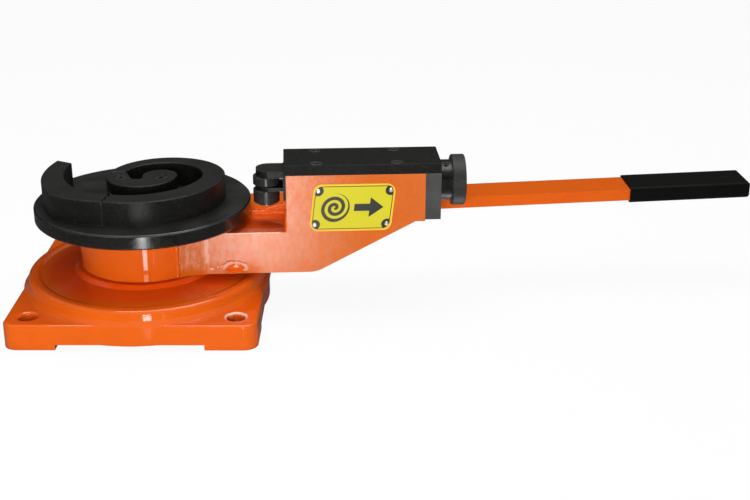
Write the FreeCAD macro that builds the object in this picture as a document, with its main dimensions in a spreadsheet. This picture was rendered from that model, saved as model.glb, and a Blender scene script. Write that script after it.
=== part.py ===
"""Bench scroll bender: a square cast base, a fixed scroll former on a black disk, and an arm
that swings round the spindle and presses a pair of rollers towards the former.

Millimetres and degrees. +Z is up, the origin is on the spindle axis at the underside of the feet,
and +X and +Y run along the sides of the base. The arm's pieces are drawn with the arm along +X and
are then turned about the spindle by rest_swing.
"""
import FreeCAD, Part
import math
import os
import re

import Sketcher
from FreeCAD import Placement, Rotation, Vector

os.makedirs("parts", exist_ok=True)
doc = FreeCAD.newDocument("ScrollBender")

# ---------------------------------------------------------------- driving sizes

SIZES = {
    # base casting
    "base_edge": 124.0,             # centre to a side
    "base_corner_radius": 14.0,
    "flange_top": 26.0,
    "flange_edge_radius": 3.0,
    "foot_height": 5.5,
    "foot_width": 51.5,             # base_edge to the inner side of a foot
    "body_margin": 2.0,             # the round body's wall inside base_edge
    "skirt_reach": 3.0,             # its foot outside base_edge, bulging from the middle of each side
    "skirt_rise": 4.5,
    "skirt_step": 3.6,
    "body_top": 40.0,
    "body_edge_radius": 6.0,
    "rim_width": 8.0,
    "dish_depth": 1.3,
    "dish_rise": 3.2,
    "seat_radius": 70.5,
    "seat_foot": 4.0,
    "seat_top": 46.0,
    "core_inner": 46.0,
    "core_wall": 17.6,
    "core_top": 28.0,
    "rib_width": 8.0,
    "rib_count": 8,
    "nut_pocket_radius": 39.0,
    "boss_bottom": 24.0,
    "bolt_inset": 22.0,             # base_edge to a bolt hole
    "bolt_hole_radius": 9.0,
    "bolt_hole_rounding": 3.1,
    # spindle and what turns on it
    "spindle_radius": 30.0,
    "tail_radius": 20.0,
    "tail_end": 7.0,
    "spigot_radius": 14.0,
    "spigot_height": 10.0,
    "key_radius": 4.0,
    "key_length": 16.0,
    "key_reach": 25.0,
    "nut_height": 12.0,
    "nut_across_flats": 58.0,
    "washer_thickness": 3.0,
    "washer_radius": 34.0,
    "thrust_inner": 38.0,
    "thrust_outer": 62.0,
    "thrust_recess": 1.4,
    "thrust_thickness": 1.9,
    "running_fit": 0.05,
    "bush_wall": 5.0,
    # hub, disk and former
    "hub_gap": 0.6,
    "hub_height": 50.8,
    "hub_radius": 67.0,
    "hub_chamfer": 1.0,
    "disk_gap": 0.8,
    "disk_thickness": 14.8,
    "disk_radius": 110.0,
    "disk_chamfer": 1.5,
    "former_height": 25.0,
    "former_chamfer": 0.8,
    "seam_gap": 0.3,
    "dowel_radius": 5.0,
    "dowel_depth": 12.0,
    "former_screw_x": 20.2,
    "former_screw_y": -5.5,
    "former_screw_length": 40.0,
    "former_screw_turn": 35.0,
    "former_lock_angle": 215.0,
    "former_lock_length": 10.0,
    "hook_radius": 36.0,
    "nose_x": 18.2,
    "nose_y": 1.0,
    "slot_left": -17.5,
    "slot_floor_x": -3.6,
    "slot_floor_y": -12.0,
    "slot_corner_radius": 4.5,
    "seam_y": 11.0,
    "middle_x": -2.0,
    "middle_y": 2.0,
    "middle_radius": 86.5,
    "middle_turn": -3.0,
    "return_radius": 60.0,
    "middle_bore_x": -7.0,
    "middle_bore_y": 8.0,
    "middle_bore": 69.5,
    "middle_bore_turn": -14.0,
    "return_bore": 41.0,
    "parting_x": -26.0,
    "parting_inner_x": -20.6,
    "outer_corner_x": -79.0,
    "outer_corner_rise": 19.6,      # above the foot of the seam on the middle stretch
    "outer_flank_radius": 109.3,
    "outer_nose_radius": 127.0,
    "outer_bore_radius": 91.7,
    "outer_tip_x": -97.1,
    "outer_tip_y": 49.2,
    "outer_wall": 19.0,
    "outer_tip_turn": 28.0,
    "outer_root_wall": 16.5,
    "middle_dowel_a_x": 47.8,
    "middle_dowel_a_y": 44.6,
    "middle_dowel_b_x": 8.4,
    "middle_dowel_b_y": -70.4,
    "outer_dowel_a_x": -62.0,
    "outer_dowel_a_rise": 24.1,     # above the same foot
    "outer_dowel_b_x": -91.0,
    "outer_dowel_b_y": 20.0,
    # swinging arm
    "rest_swing": 3.6,
    "blend_radius": 60.0,           # hollow curve from the hub to the front cheek
    "arm_offset": -18.6,            # the arm's centre line, beside the spindle axis
    "housing_width": 57.6,
    "side_thickness": 12.0,
    "arm_height": 43.7,
    "web_thickness": 8.0,
    "housing_left": 146.8,
    "housing_length": 139.7,
    "housing_rise": 36.8,           # the housing's top above the disk
    "slant_start": 176.0,
    "slant_rounding": 30.0,
    "tail_height": 50.4,            # the housing's height at its outer end
    "tail_flat": 9.5,
    "channel_height": 30.1,
    "cover_lead": 2.2,
    "cover_thickness": 10.6,
    "cover_chamfer": 0.6,
    "cover_screw_x": 177.3,
    "cover_screw_gap": 5.4,         # a right cover screw to the holes for the end plate screws
    "cover_screw_side": 21.4,       # the arm's centre line to a cover screw
    "cover_screw_length": 26.0,
    "end_plate_thickness": 15.8,
    "end_plate_height": 48.7,
    "end_screw_drop": 6.5,
    "end_screw_pitch": 35.0,
    "end_screw_length": 34.0,
    "handle_width": 42.4,
    "handle_thickness": 12.0,
    "handle_slope": 1.55,
    "handle_root_top": 94.9,        # the bar's top, carried on to the spindle axis
    "handle_root_x": 30.0,
    "handle_end": 636.0,
    "grip_start": 511.0,
    "grip_wall": 2.4,
    "grip_cap": 4.5,
    "nameplate_left": 168.9,        # its lower left corner
    "nameplate_bottom": 90.9,
    "nameplate_length": 82.4,
    "nameplate_height": 49.6,
    "nameplate_lean": 6.0,
    "nameplate_corner": 9.0,
    "nameplate_thickness": 0.8,
    "rivet_inset_x": 4.9,
    "rivet_inset_y": 6.9,
    "rivet_radius": 1.6,
    "rivet_head_radius": 2.5,
    "rivet_head_height": 1.1,
    "rivet_length": 4.0,
    # feed screw, knob and slide
    "screw_drop": 16.2,             # the screw's axis below the housing's top
    "screw_radius": 7.0,
    "screw_start": 164.0,
    "screw_play": 0.2,
    "collar_radius": 12.5,
    "collar_length": 6.0,
    "boss_radius": 20.7,
    "boss_length": 12.4,
    "knob_radius": 26.0,
    "knob_length": 13.5,
    "knob_bore_depth": 21.0,
    "knob_edge": 0.8,
    "set_screw_radius": 3.0,
    "set_screw_turn": 26.0,
    "set_screw_sink": 1.0,
    "collar_screw_radius": 2.0,
    "slide_play": 0.1,
    "slide_overhang": 3.0,
    "slide_length": 60.0,
    "slide_bore_radius": 7.6,
    "slide_bore_depth": 48.0,
    "feed_nut_radius": 10.5,
    "feed_nut_length": 24.0,
    "lug_width": 29.2,
    "lug_reach": 27.3,
    "lug_corner_radius": 13.0,
    "lug_skin": 2.0,                # metal left over the roller pin's end
    "lug_root": 4.0,
    "upper_lug_thickness": 7.1,
    "middle_lug_thickness": 4.0,
    "upper_roller_height": 9.6,
    "roller_x": 126.8,
    "roller_radius": 13.4,
    "roller_chamfer": 0.8,
    "roller_play": 0.2,
    "roller_float": 1.2,            # the lower roller's underside above the disk
    "roller_pin_radius": 5.0,
    "pin_head_radius": 8.5,
    "pin_head_height": 2.8,
    # metric fasteners
    "m8_radius": 4.0,
    "m8_clearance": 0.4,
    "m8_socket": 5.0,
    "m8_cap_radius": 6.5,
    "m8_cap_height": 8.0,
    "cap_clearance": 0.5,
    "m6_radius": 3.0,
    "m6_clearance": 0.3,
    "m6_cap_radius": 5.0,
    "m6_cap_height": 6.0,
    "m6_socket": 5.0,
    "m6_head_radius": 6.0,
    "m6_head_socket": 4.0,
    "socket_depth": 3.0,
}

sheet = doc.addObject("Spreadsheet::Sheet", "Sizes")
for row, (alias, number) in enumerate(SIZES.items(), start=1):
    sheet.set(f"A{row}", alias)
    sheet.set(f"B{row}", str(number))
    sheet.setAlias(f"B{row}", alias)
doc.recompute()

# ---------------------------------------------------------------- places worked out from the sizes

BODY_RADIUS = "(base_edge - body_margin)"
CORE_OUTER = f"({BODY_RADIUS} - core_wall)"
BOLT_REACH = "(base_edge - bolt_inset)"

HUB_BOTTOM = "(seat_top + hub_gap)"
HUB_TOP = f"({HUB_BOTTOM} + hub_height)"
DISK_BOTTOM = f"({HUB_TOP} + disk_gap)"
DISK_TOP = f"({DISK_BOTTOM} + disk_thickness)"
FORMER_TOP = f"({DISK_TOP} + former_height)"

ARM_TOP = f"({HUB_BOTTOM} + arm_height)"
HOUSING_TOP = f"({DISK_TOP} + housing_rise)"
HOUSING_RIGHT = "(housing_left + housing_length)"
TAIL_BOTTOM = f"({HOUSING_TOP} - tail_height)"
TAIL_START = f"({HOUSING_RIGHT} - tail_flat)"
FLOOR_TOP = f"({HOUSING_TOP} - channel_height)"
FRONT_FACE = "(arm_offset - housing_width/2)"
REAR_FACE = "(arm_offset + housing_width/2)"
CHANNEL_FRONT = f"({FRONT_FACE} + side_thickness)"
CHANNEL_REAR = f"({REAR_FACE} - side_thickness)"
SIDE_CENTRE = "(housing_width/2 - side_thickness/2)"
COVER_LEFT = "(housing_left - cover_lead)"
COVER_TOP = f"({HOUSING_TOP} + cover_thickness)"
END_FACE = f"({HOUSING_RIGHT} + end_plate_thickness)"
END_HOLE_DEPTH = "(end_screw_length - end_plate_thickness + 2)"
COVER_SCREW_RIGHT = f"({HOUSING_RIGHT} - {END_HOLE_DEPTH} - cover_screw_gap - m6_radius)"

SCREW_AXIS = f"({HOUSING_TOP} - screw_drop)"
SLIDE_LEFT = "(housing_left - slide_overhang)"
SLIDE_RIGHT = f"({SLIDE_LEFT} + slide_length)"
SLIDE_TOP = f"({HOUSING_TOP} - slide_play)"
SLIDE_BOTTOM = f"({FLOOR_TOP} + slide_play)"
UPPER_LUG_BOTTOM = f"({SLIDE_TOP} - upper_lug_thickness)"
UPPER_ROLLER_TOP = f"({UPPER_LUG_BOTTOM} - roller_play)"
UPPER_ROLLER_BOTTOM = f"({UPPER_ROLLER_TOP} - upper_roller_height)"
MIDDLE_LUG_TOP = f"({UPPER_ROLLER_BOTTOM} - roller_play)"
MIDDLE_LUG_BOTTOM = f"({MIDDLE_LUG_TOP} - middle_lug_thickness)"
LOWER_ROLLER_TOP = f"({MIDDLE_LUG_BOTTOM} - roller_play)"
LOWER_ROLLER_BOTTOM = f"({DISK_TOP} + roller_float)"
PIN_BOTTOM = f"({LOWER_ROLLER_BOTTOM} - roller_play - pin_head_height)"
PIN_TOP = f"({SLIDE_TOP} - lug_skin)"
BOSS_LEFT = f"({END_FACE} + screw_play)"
KNOB_LEFT = f"({BOSS_LEFT} + boss_length)"
KNOB_RIGHT = f"({KNOB_LEFT} + knob_length)"
COLLAR_RIGHT = f"({HOUSING_RIGHT} - screw_play)"

# ---------------------------------------------------------------- helpers

WORD = re.compile(r"[A-Za-z_][A-Za-z_0-9]*")


def linked(expression):
    """The expression with each size written as a cell of the sheet."""
    return WORD.sub(lambda found: f"Sizes.{found[0]}" if found[0] in SIZES else found[0], str(expression))


def amount(expression):
    """The expression's present value, for the first drawing of a sketch."""
    return float(sheet.evalExpression(linked(expression)))


def bind(item, path, expression):
    item.setExpression(path, linked(expression))


def new_body(label):
    body = doc.addObject("PartDesign::Body", label)
    body.Label = label
    return body


def sketch_on(body, role, offset="0"):
    """A sketch on one of the body's own origin planes, moved along the plane's normal."""
    sketch = body.newObject("Sketcher::SketchObject", f"{body.Name}_sketch")
    support = [item for item in body.Origin.OriginFeatures if item.Role == role]
    sketch.AttachmentSupport = [(support[0], "")]
    sketch.MapMode = "FlatFace"
    bind(sketch, "AttachmentOffset.Base.z", offset)
    return sketch


def pin_point(sketch, shape, point, x, y):
    """Hold a point of the sketch at x, y from its origin."""
    for kind, place in (("DistanceX", x), ("DistanceY", y)):
        index = sketch.addConstraint(Sketcher.Constraint(kind, -1, 1, shape, point, amount(place)))
        bind(sketch, f"Constraints[{index}]", place)


def hold_radius(sketch, shape, radius):
    index = sketch.addConstraint(Sketcher.Constraint("Radius", shape, amount(radius)))
    bind(sketch, f"Constraints[{index}]", radius)


def circle(sketch, x, y, radius):
    centre = Vector(amount(x), amount(y), 0)
    shape = sketch.addGeometry(Part.Circle(centre, Vector(0, 0, 1), amount(radius)))
    pin_point(sketch, shape, 3, x, y)
    hold_radius(sketch, shape, radius)


def arc_between(start, end, radius, turn):
    """The short arc from start to end; turn is 1 anticlockwise and -1 clockwise."""
    chord = end - start
    rise = math.sqrt(max(radius ** 2 - (chord.Length / 2) ** 2, 0.0))
    left = Vector(-chord.y, chord.x, 0).normalize()
    centre = (start + end) * 0.5 + left * (rise * turn)
    first, last = (start, end) if turn > 0 else (end, start)
    angles = [math.atan2(point.y - centre.y, point.x - centre.x) for point in (first, last)]
    if angles[1] < angles[0]:
        angles[1] += 2 * math.pi
    return Part.ArcOfCircle(Part.Circle(centre, Vector(0, 0, 1), radius), angles[0], angles[1])


def outline(sketch, corners):
    """A closed loop through corners (x, y) or (x, y, radius, turn), where the last two bend the
    stretch from this corner to the next into an arc."""
    shapes = []
    for corner, following in zip(corners, corners[1:] + corners[:1]):
        start = Vector(amount(corner[0]), amount(corner[1]), 0)
        end = Vector(amount(following[0]), amount(following[1]), 0)
        if len(corner) == 2:
            shape = sketch.addGeometry(Part.LineSegment(start, end))
            shapes.append((shape, 1, 2))
        else:
            radius, turn = corner[2:]
            shape = sketch.addGeometry(arc_between(start, end, amount(radius), turn))
            shapes.append((shape, 1, 2) if turn > 0 else (shape, 2, 1))
            hold_radius(sketch, shape, radius)
    for place, corner in enumerate(corners):
        shape, first, last = shapes[place]
        before, before_first, before_last = shapes[place - 1]
        sketch.addConstraint(Sketcher.Constraint("Coincident", before, before_last, shape, first))
        pin_point(sketch, shape, first, corner[0], corner[1])


def rectangle(sketch, left, bottom, right, top):
    outline(sketch, [(left, bottom), (right, bottom), (right, top), (left, top)])


def grow(body, sketch, length, backwards=False):
    """Pad a sketch along its plane's normal, or backwards."""
    feature = body.newObject("PartDesign::Pad", f"{body.Name}_pad")
    feature.Profile = sketch
    feature.Reversed = backwards
    bind(feature, "Length", length)
    return feature


def sink(body, sketch, depth, forwards=False):
    """Pocket a sketch against its plane's normal, or forwards along it."""
    feature = body.newObject("PartDesign::Pocket", f"{body.Name}_pocket")
    feature.Profile = sketch
    feature.Reversed = forwards
    bind(feature, "Length", depth)
    return feature


def plate(label, corners, front, rear):
    """A body drawn in side view and padded from its rear to its front."""
    body = new_body(label)
    sketch = sketch_on(body, "XZ_Plane", f"-{rear}")
    outline(sketch, corners)
    grow(body, sketch, f"{rear} - {front}")
    return body


def trim_to_hub(body):
    """Cut away what would lie inside the hub's round outside."""
    sketch = sketch_on(body, "XY_Plane")
    circle(sketch, "0", "0", "hub_radius")
    sink(body, sketch, HOUSING_TOP, forwards=True)


def turned(label, profile, axis="V_Axis"):
    """A lathe piece: its profile in the XZ plane, turned about Z, or about X with axis H_Axis."""
    body = new_body(label)
    sketch = sketch_on(body, "XZ_Plane")
    outline(sketch, profile)
    feature = body.newObject("PartDesign::Revolution", f"{label}_turning")
    feature.Profile = sketch
    feature.ReferenceAxis = (sketch, [axis])
    feature.Angle = 360
    return body


def ring(label, inner, outer, bottom, top, chamfer="0"):
    """A turned ring with chamfered outer edges."""
    profile = [(inner, bottom), (outer, bottom), (outer, top), (inner, top)]
    if amount(chamfer) > 0:
        profile = [
            (inner, bottom),
            (f"{outer} - {chamfer}", bottom),
            (outer, f"{bottom} + {chamfer}"),
            (outer, f"{top} - {chamfer}"),
            (f"{outer} - {chamfer}", top),
            (inner, top),
        ]
    return turned(label, profile)


def dress_edges(body, kind, size, wanted):
    """Chamfer or fillet those edges of the body's present shape that wanted picks."""
    doc.recompute()
    base = body.Tip
    names = [f"Edge{number}" for number, edge in enumerate(base.Shape.Edges, start=1) if wanted(edge)]
    feature = body.newObject(f"PartDesign::{kind}", f"{body.Name}_{kind.lower()}")
    feature.Base = (base, names)
    bind(feature, "Size" if kind == "Chamfer" else "Radius", size)
    return feature


def lies_at(edge, height):
    """True for an edge that lies level at this height."""
    box = edge.BoundBox
    return abs(box.ZMin - height) < 1e-4 and abs(box.ZMax - height) < 1e-4


def is_round(edge, radius):
    return isinstance(edge.Curve, Part.Circle) and abs(edge.Curve.Radius - radius) < 1e-4


def solid(kind, **sizes):
    """A Part primitive with each property bound to an expression."""
    item = doc.addObject(f"Part::{kind}", kind.lower())
    for name, expression in sizes.items():
        bind(item, name, expression)
    return item


def move(item, x="0", y="0", z="0"):
    for path, place in (("x", x), ("y", y), ("z", z)):
        bind(item, f"Placement.Base.{path}", place)
    return item


def on_arm(item, x="0", y="0", z="0"):
    """Place a piece of the arm: at x, y, z with the arm along +X, then turned to its rest."""
    bind(item, "Placement.Base.x", f"({x})*cos(rest_swing) - ({y})*sin(rest_swing)")
    bind(item, "Placement.Base.y", f"({x})*sin(rest_swing) + ({y})*cos(rest_swing)")
    bind(item, "Placement.Base.z", z)
    bind(item, "Placement.Rotation.Angle", "rest_swing")
    return item


def hex_prism(across_flats, height):
    return solid("Prism", Circumradius=f"({across_flats})/(2*cos(30))", Height=height)


def fused(*items):
    item = doc.addObject("Part::MultiFuse", "fused")
    item.Shapes = list(items)
    return item


def cut(base, tool):
    item = doc.addObject("Part::Cut", "cut")
    item.Base = base
    item.Tool = tool
    return item


def drilled(body, drill):
    """The body less the drill, under the body's own label."""
    label = body.Label
    body.Label = f"{label}_blank"
    piece = cut(body, drill)
    piece.Label = label
    return piece


def group(label, items):
    """Separate like solids that share one node."""
    item = doc.addObject("Part::Compound", label)
    item.Label = label
    item.Links = items
    return item


def socket_screw(radius, length, head_radius, head_height, socket, turn="0"):
    """A socket head screw with the top of its head at the origin and its shank down -Z."""
    shank = move(solid("Cylinder", Radius=radius, Height=length), z=f"-({length})")
    head = move(solid("Cylinder", Radius=head_radius, Height=head_height), z=f"-({head_height})")
    recess = move(hex_prism(socket, "socket_depth"), z="-socket_depth")
    bind(recess, "Placement.Rotation.Angle", turn)
    return cut(fused(shank, head), recess)


def countersunk_screw(radius, length, head_radius, socket):
    """A flat head screw with its top at the origin and its shank down -Z."""
    shank = move(solid("Cylinder", Radius=radius, Height=length), z=f"-({length})")
    cone_height = f"({head_radius} - {radius})"
    head = move(solid("Cone", Radius1=radius, Radius2=head_radius, Height=cone_height), z=f"-{cone_height}")
    recess = move(hex_prism(socket, "socket_depth"), z="-socket_depth")
    return cut(fused(shank, head), recess)


def grub_screw(radius, length, socket):
    """A headless screw from the origin down -Z, with a socket in its top."""
    shank = move(solid("Cylinder", Radius=radius, Height=length), z=f"-({length})")
    recess = move(hex_prism(socket, "socket_depth"), z="-socket_depth")
    return cut(shank, recess)


subparts = []


def keep(*items):
    subparts.extend(items)


# ---------------------------------------------------------------- base casting

def build_base_casting():
    """Square flange on four feet, round body with a low dish and a raised seat for the hub, its
    skirt bulging from the middle of each side, cored from below with ribs round a central boss.
    The feet are solids of their own that meet the rest at the underside of the flange."""
    body = new_body("base_casting_form")
    run = "(base_edge - base_corner_radius)"
    flange = sketch_on(body, "XY_Plane")
    outline(flange, [
        (f"-{run}", "-base_edge"),
        (run, "-base_edge", "base_corner_radius", 1),
        ("base_edge", f"-{run}"),
        ("base_edge", run, "base_corner_radius", 1),
        (run, "base_edge"),
        (f"-{run}", "base_edge", "base_corner_radius", 1),
        ("-base_edge", run),
        ("-base_edge", f"-{run}", "base_corner_radius", 1),
    ])
    grow(body, flange, "flange_top")
    top = amount("flange_top")
    dress_edges(body, "Fillet", "flange_edge_radius", lambda edge: lies_at(edge, top))

    round_body = sketch_on(body, "XZ_Plane")
    rim_inner = f"({BODY_RADIUS} - body_edge_radius - rim_width)"
    seat_foot = "(seat_radius + seat_foot)"
    outline(round_body, [
        ("0", "0"),
        ("base_edge + skirt_reach", "0"),
        ("base_edge + skirt_reach", "flange_top"),
        ("base_edge + skirt_reach - skirt_step", "flange_top + skirt_rise"),
        (BODY_RADIUS, "body_top - body_edge_radius", "body_edge_radius", 1),
        (f"{BODY_RADIUS} - body_edge_radius", "body_top"),
        (f"{rim_inner} + rim_width/2", "body_top"),
        (rim_inner, "body_top - dish_depth"),
        (seat_foot, "body_top - dish_depth + dish_rise"),
        ("seat_radius", "seat_top"),
        ("thrust_outer", "seat_top"),
        ("thrust_outer", "seat_top - thrust_recess"),
        ("thrust_inner", "seat_top - thrust_recess"),
        ("thrust_inner", "seat_top"),
        ("0", "seat_top"),
    ])
    turning = body.newObject("PartDesign::Revolution", "base_turning")
    turning.Profile = round_body
    turning.ReferenceAxis = (round_body, ["V_Axis"])
    turning.Angle = 360

    core = sketch_on(body, "XY_Plane")
    circle(core, "0", "0", CORE_OUTER)
    circle(core, "0", "0", "core_inner")
    sink(body, core, "core_top", forwards=True)
    rib = sketch_on(body, "XY_Plane")
    lap = "2"
    rectangle(rib, f"core_inner - {lap}", "-rib_width/2", f"{CORE_OUTER} + {lap}", "rib_width/2")
    first_rib = grow(body, rib, f"core_top + {lap}")
    ribs = body.newObject("PartDesign::PolarPattern", "ribs")
    ribs.Originals = [first_rib]
    ribs.Axis = (rib, ["N_Axis"])
    ribs.Angle = 360
    bind(ribs, "Occurrences", "rib_count")
    body.Tip = ribs

    relief = sketch_on(body, "XY_Plane")
    inner = "(base_edge - foot_width)"
    outer = "(base_edge + 2*skirt_reach)"
    outline(relief, [
        (f"-{inner}", f"-{outer}"), (inner, f"-{outer}"), (inner, f"-{inner}"),
        (outer, f"-{inner}"), (outer, inner), (inner, inner),
        (inner, outer), (f"-{inner}", outer), (f"-{inner}", inner),
        (f"-{outer}", inner), (f"-{outer}", f"-{inner}"), (f"-{inner}", f"-{inner}"),
    ])
    sink(body, relief, "foot_height", forwards=True)
    nut_pocket = sketch_on(body, "XY_Plane")
    circle(nut_pocket, "0", "0", "nut_pocket_radius")
    sink(body, nut_pocket, "boss_bottom", forwards=True)
    bore = sketch_on(body, "XY_Plane", "seat_top")
    circle(bore, "0", "0", "tail_radius")
    sink(body, bore, "seat_top")
    key_seat = sketch_on(body, "XY_Plane", "seat_top")
    circle(key_seat, "key_reach", "0", "key_radius")
    sink(body, key_seat, "key_length/2")
    holes = sketch_on(body, "XY_Plane", "flange_top")
    for x_side, y_side in ((1, 1), (-1, 1), (-1, -1), (1, -1)):
        circle(holes, f"{x_side}*{BOLT_REACH}", f"{y_side}*{BOLT_REACH}", "bolt_hole_radius")
    sink(body, holes, "flange_top")
    hole_radius = amount("bolt_hole_radius")
    dress_edges(body, "Fillet", "bolt_hole_rounding",
                lambda edge: lies_at(edge, top) and is_round(edge, hole_radius))

    slab = solid("Box", Length="4*base_edge", Width="4*base_edge", Height="foot_height")
    move(slab, x="-2*base_edge", y="-2*base_edge")
    feet = doc.addObject("Part::Common", "feet")
    feet.Base = body
    feet.Tool = slab
    return group("base_casting", [cut(body, slab), feet])


# ---------------------------------------------------------------- spindle and its fixings

def build_spindle():
    """Shouldered post, with a nutted tail through the base and a spigot that centres the disk."""
    body = turned("spindle", [
        ("0", "tail_end"),
        ("tail_radius", "tail_end"),
        ("tail_radius", "seat_top"),
        ("spindle_radius", "seat_top"),
        ("spindle_radius", DISK_BOTTOM),
        ("spigot_radius", DISK_BOTTOM),
        ("spigot_radius", f"{DISK_BOTTOM} + spigot_height"),
        ("0", f"{DISK_BOTTOM} + spigot_height"),
    ])
    tapped = sketch_on(body, "XY_Plane", DISK_BOTTOM)
    for side in (-1, 1):
        circle(tapped, f"{side}*former_screw_x", "former_screw_y", "m8_radius")
    sink(body, tapped, "former_screw_length - disk_thickness")
    key_seat = sketch_on(body, "XY_Plane", "seat_top")
    circle(key_seat, "key_reach", "0", "key_radius")
    sink(body, key_seat, "key_length/2", forwards=True)
    return body


def build_spindle_key():
    key = solid("Cylinder", Radius="key_radius", Height="key_length")
    key.Label = "spindle_key"
    return move(key, x="key_reach", z="seat_top - key_length/2")


def build_spindle_nut():
    nut = cut(hex_prism("nut_across_flats", "nut_height"),
              solid("Cylinder", Radius="tail_radius", Height="nut_height"))
    nut.Label = "spindle_nut"
    return move(nut, z="boss_bottom - washer_thickness - nut_height")


def build_disk():
    """Round table of the former, with dowel holes for the lift-off segments."""
    body = new_body("former_disk")
    face = sketch_on(body, "XY_Plane", DISK_BOTTOM)
    circle(face, "0", "0", "disk_radius")
    circle(face, "0", "0", "spigot_radius")
    for side in (-1, 1):
        circle(face, f"{side}*former_screw_x", "former_screw_y", "m8_radius + m8_clearance")
    grow(body, face, "disk_thickness")
    rim = amount("disk_radius")
    dress_edges(body, "Chamfer", "disk_chamfer", lambda edge: is_round(edge, rim))
    sockets = sketch_on(body, "XY_Plane", DISK_TOP)
    for x, y in DOWELS["middle_former"] + DOWELS["outer_former"]:
        circle(sockets, x, y, "dowel_radius + running_fit")
    sink(body, sockets, "dowel_depth + slide_play")
    return body


# ---------------------------------------------------------------- scroll former

def y_on_circle(centre_x, centre_y, radius, x, side):
    """Where a circle crosses the line x, on its far side (1) or near side (-1)."""
    return f"({centre_y} + ({side})*sqrt(({radius})^2 - (({x}) - ({centre_x}))^2))"


SEAM_FOOT = y_on_circle("middle_x", "middle_y", "middle_radius", "parting_x", -1)
DOWELS = {
    "middle_former": [("middle_dowel_a_x", "middle_dowel_a_y"), ("middle_dowel_b_x", "middle_dowel_b_y")],
    "outer_former": [("outer_dowel_a_x", f"{SEAM_FOOT} + outer_dowel_a_rise"),
                     ("outer_dowel_b_x", "outer_dowel_b_y")],
}


def former_body(label, corners):
    """A slab of the former's height, standing on the disk."""
    body = new_body(label)
    plan = sketch_on(body, "XY_Plane", DISK_TOP)
    outline(plan, corners)
    grow(body, plan, "former_height")
    top = amount(FORMER_TOP)
    dress_edges(body, "Chamfer", "former_chamfer", lambda edge: lies_at(edge, top))
    return body


def x_on_circle(centre_x, centre_y, radius, y, side):
    """Where a circle crosses the level y, on its right (1) or left (-1)."""
    return f"({centre_x} + ({side})*sqrt(({radius})^2 - (({y}) - ({centre_y}))^2))"


def build_center_former():
    """Round heart of the scroll: a nose that the bar's end hooks round, and the slot beside it."""
    seam = "(seam_y - seam_gap/2)"
    left_x = x_on_circle("0", "0", "hook_radius", seam, -1)
    nose_radius = "(hook_radius - nose_x)"
    body = former_body("center_former", [
        (left_x, seam, "hook_radius", 1),
        ("0", "-hook_radius", "hook_radius", 1),
        ("hook_radius", "0", nose_radius, 1),
        ("nose_x", f"nose_y + {nose_radius}", nose_radius, 1),
        (f"nose_x - {nose_radius}", "nose_y", nose_radius, 1),
        (f"nose_x - {nose_radius}*cos(28)", f"nose_y - {nose_radius}*sin(28)"),
        ("slot_floor_x + slot_corner_radius/2", "slot_floor_y"),
        ("slot_floor_x - slot_corner_radius/2", "slot_floor_y", "slot_corner_radius", -1),
        ("slot_floor_x - slot_corner_radius*1.4", "slot_floor_y + slot_corner_radius*0.9"),
        ("slot_left", seam),
    ])
    bores = sketch_on(body, "XY_Plane", FORMER_TOP)
    for side in (-1, 1):
        circle(bores, f"{side}*former_screw_x", "former_screw_y", "m8_radius + m8_clearance")
    sink(body, bores, "former_height")
    seats = sketch_on(body, "XY_Plane", FORMER_TOP)
    for side in (-1, 1):
        circle(seats, f"{side}*former_screw_x", "former_screw_y", "m8_cap_radius + cap_clearance")
    sink(body, seats, "m8_cap_height + cap_clearance")
    return body


def at_former_lock(item):
    """Turn a piece drawn along +X about the spindle to where the former's set screw sits."""
    bind(item, "Placement.Rotation.Angle", "former_lock_angle")
    return item


def build_former_set_screw():
    """Headless screw across the heart of the scroll, and the heart with its hole."""
    height = f"({DISK_TOP} + former_height/2)"
    outer_end = "(hook_radius - set_screw_sink/2)"
    lying = Placement(Vector(), Rotation(Vector(0, 1, 0), 90))
    drill = solid("Cylinder", Radius="m6_radius", Height="former_lock_length + 2*set_screw_sink")
    screw = grub_screw("m6_radius", "former_lock_length", "m6_radius")
    drill.Placement = lying
    screw.Placement = lying
    move(drill, x=f"{outer_end} - former_lock_length - set_screw_sink", z=height)
    move(screw, x=outer_end, z=height)
    former = drilled(build_center_former(), at_former_lock(group("former_set_screw_hole", [drill])))
    return [former, at_former_lock(group("former_set_screw", [screw]))]


def build_middle_former():
    """Middle stretch of the scroll, dowelled to the disk between the heart and the outer stretch."""
    seam = "(seam_y + seam_gap/2)"
    return_x = "(middle_x + (middle_radius - return_radius)*cos(middle_turn))"
    return_y = "(middle_y + (middle_radius - return_radius)*sin(middle_turn))"
    bore_x = "(middle_bore_x + (middle_bore - return_bore)*cos(middle_bore_turn))"
    bore_y = "(middle_bore_y + (middle_bore - return_bore)*sin(middle_bore_turn))"
    start_x = x_on_circle(return_x, return_y, "return_radius", seam, -1)
    inner_x = x_on_circle(bore_x, bore_y, "return_bore", seam, -1)
    inner_foot_y = y_on_circle("middle_bore_x", "middle_bore_y", "middle_bore", "parting_inner_x", -1)
    body = former_body("middle_former", [
        (start_x, seam),
        (inner_x, seam, "return_bore", -1),
        (bore_x, f"{bore_y} + return_bore", "return_bore", -1),
        ("middle_bore_x + middle_bore*cos(middle_bore_turn)",
         "middle_bore_y + middle_bore*sin(middle_bore_turn)", "middle_bore", -1),
        ("parting_inner_x", inner_foot_y),
        ("parting_x", SEAM_FOOT, "middle_radius", 1),
        ("middle_x + middle_radius*cos(middle_turn)",
         "middle_y + middle_radius*sin(middle_turn)", "return_radius", 1),
        (return_x, f"{return_y} + return_radius", "return_radius", 1),
    ])
    drill_dowels(body)
    return body


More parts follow.
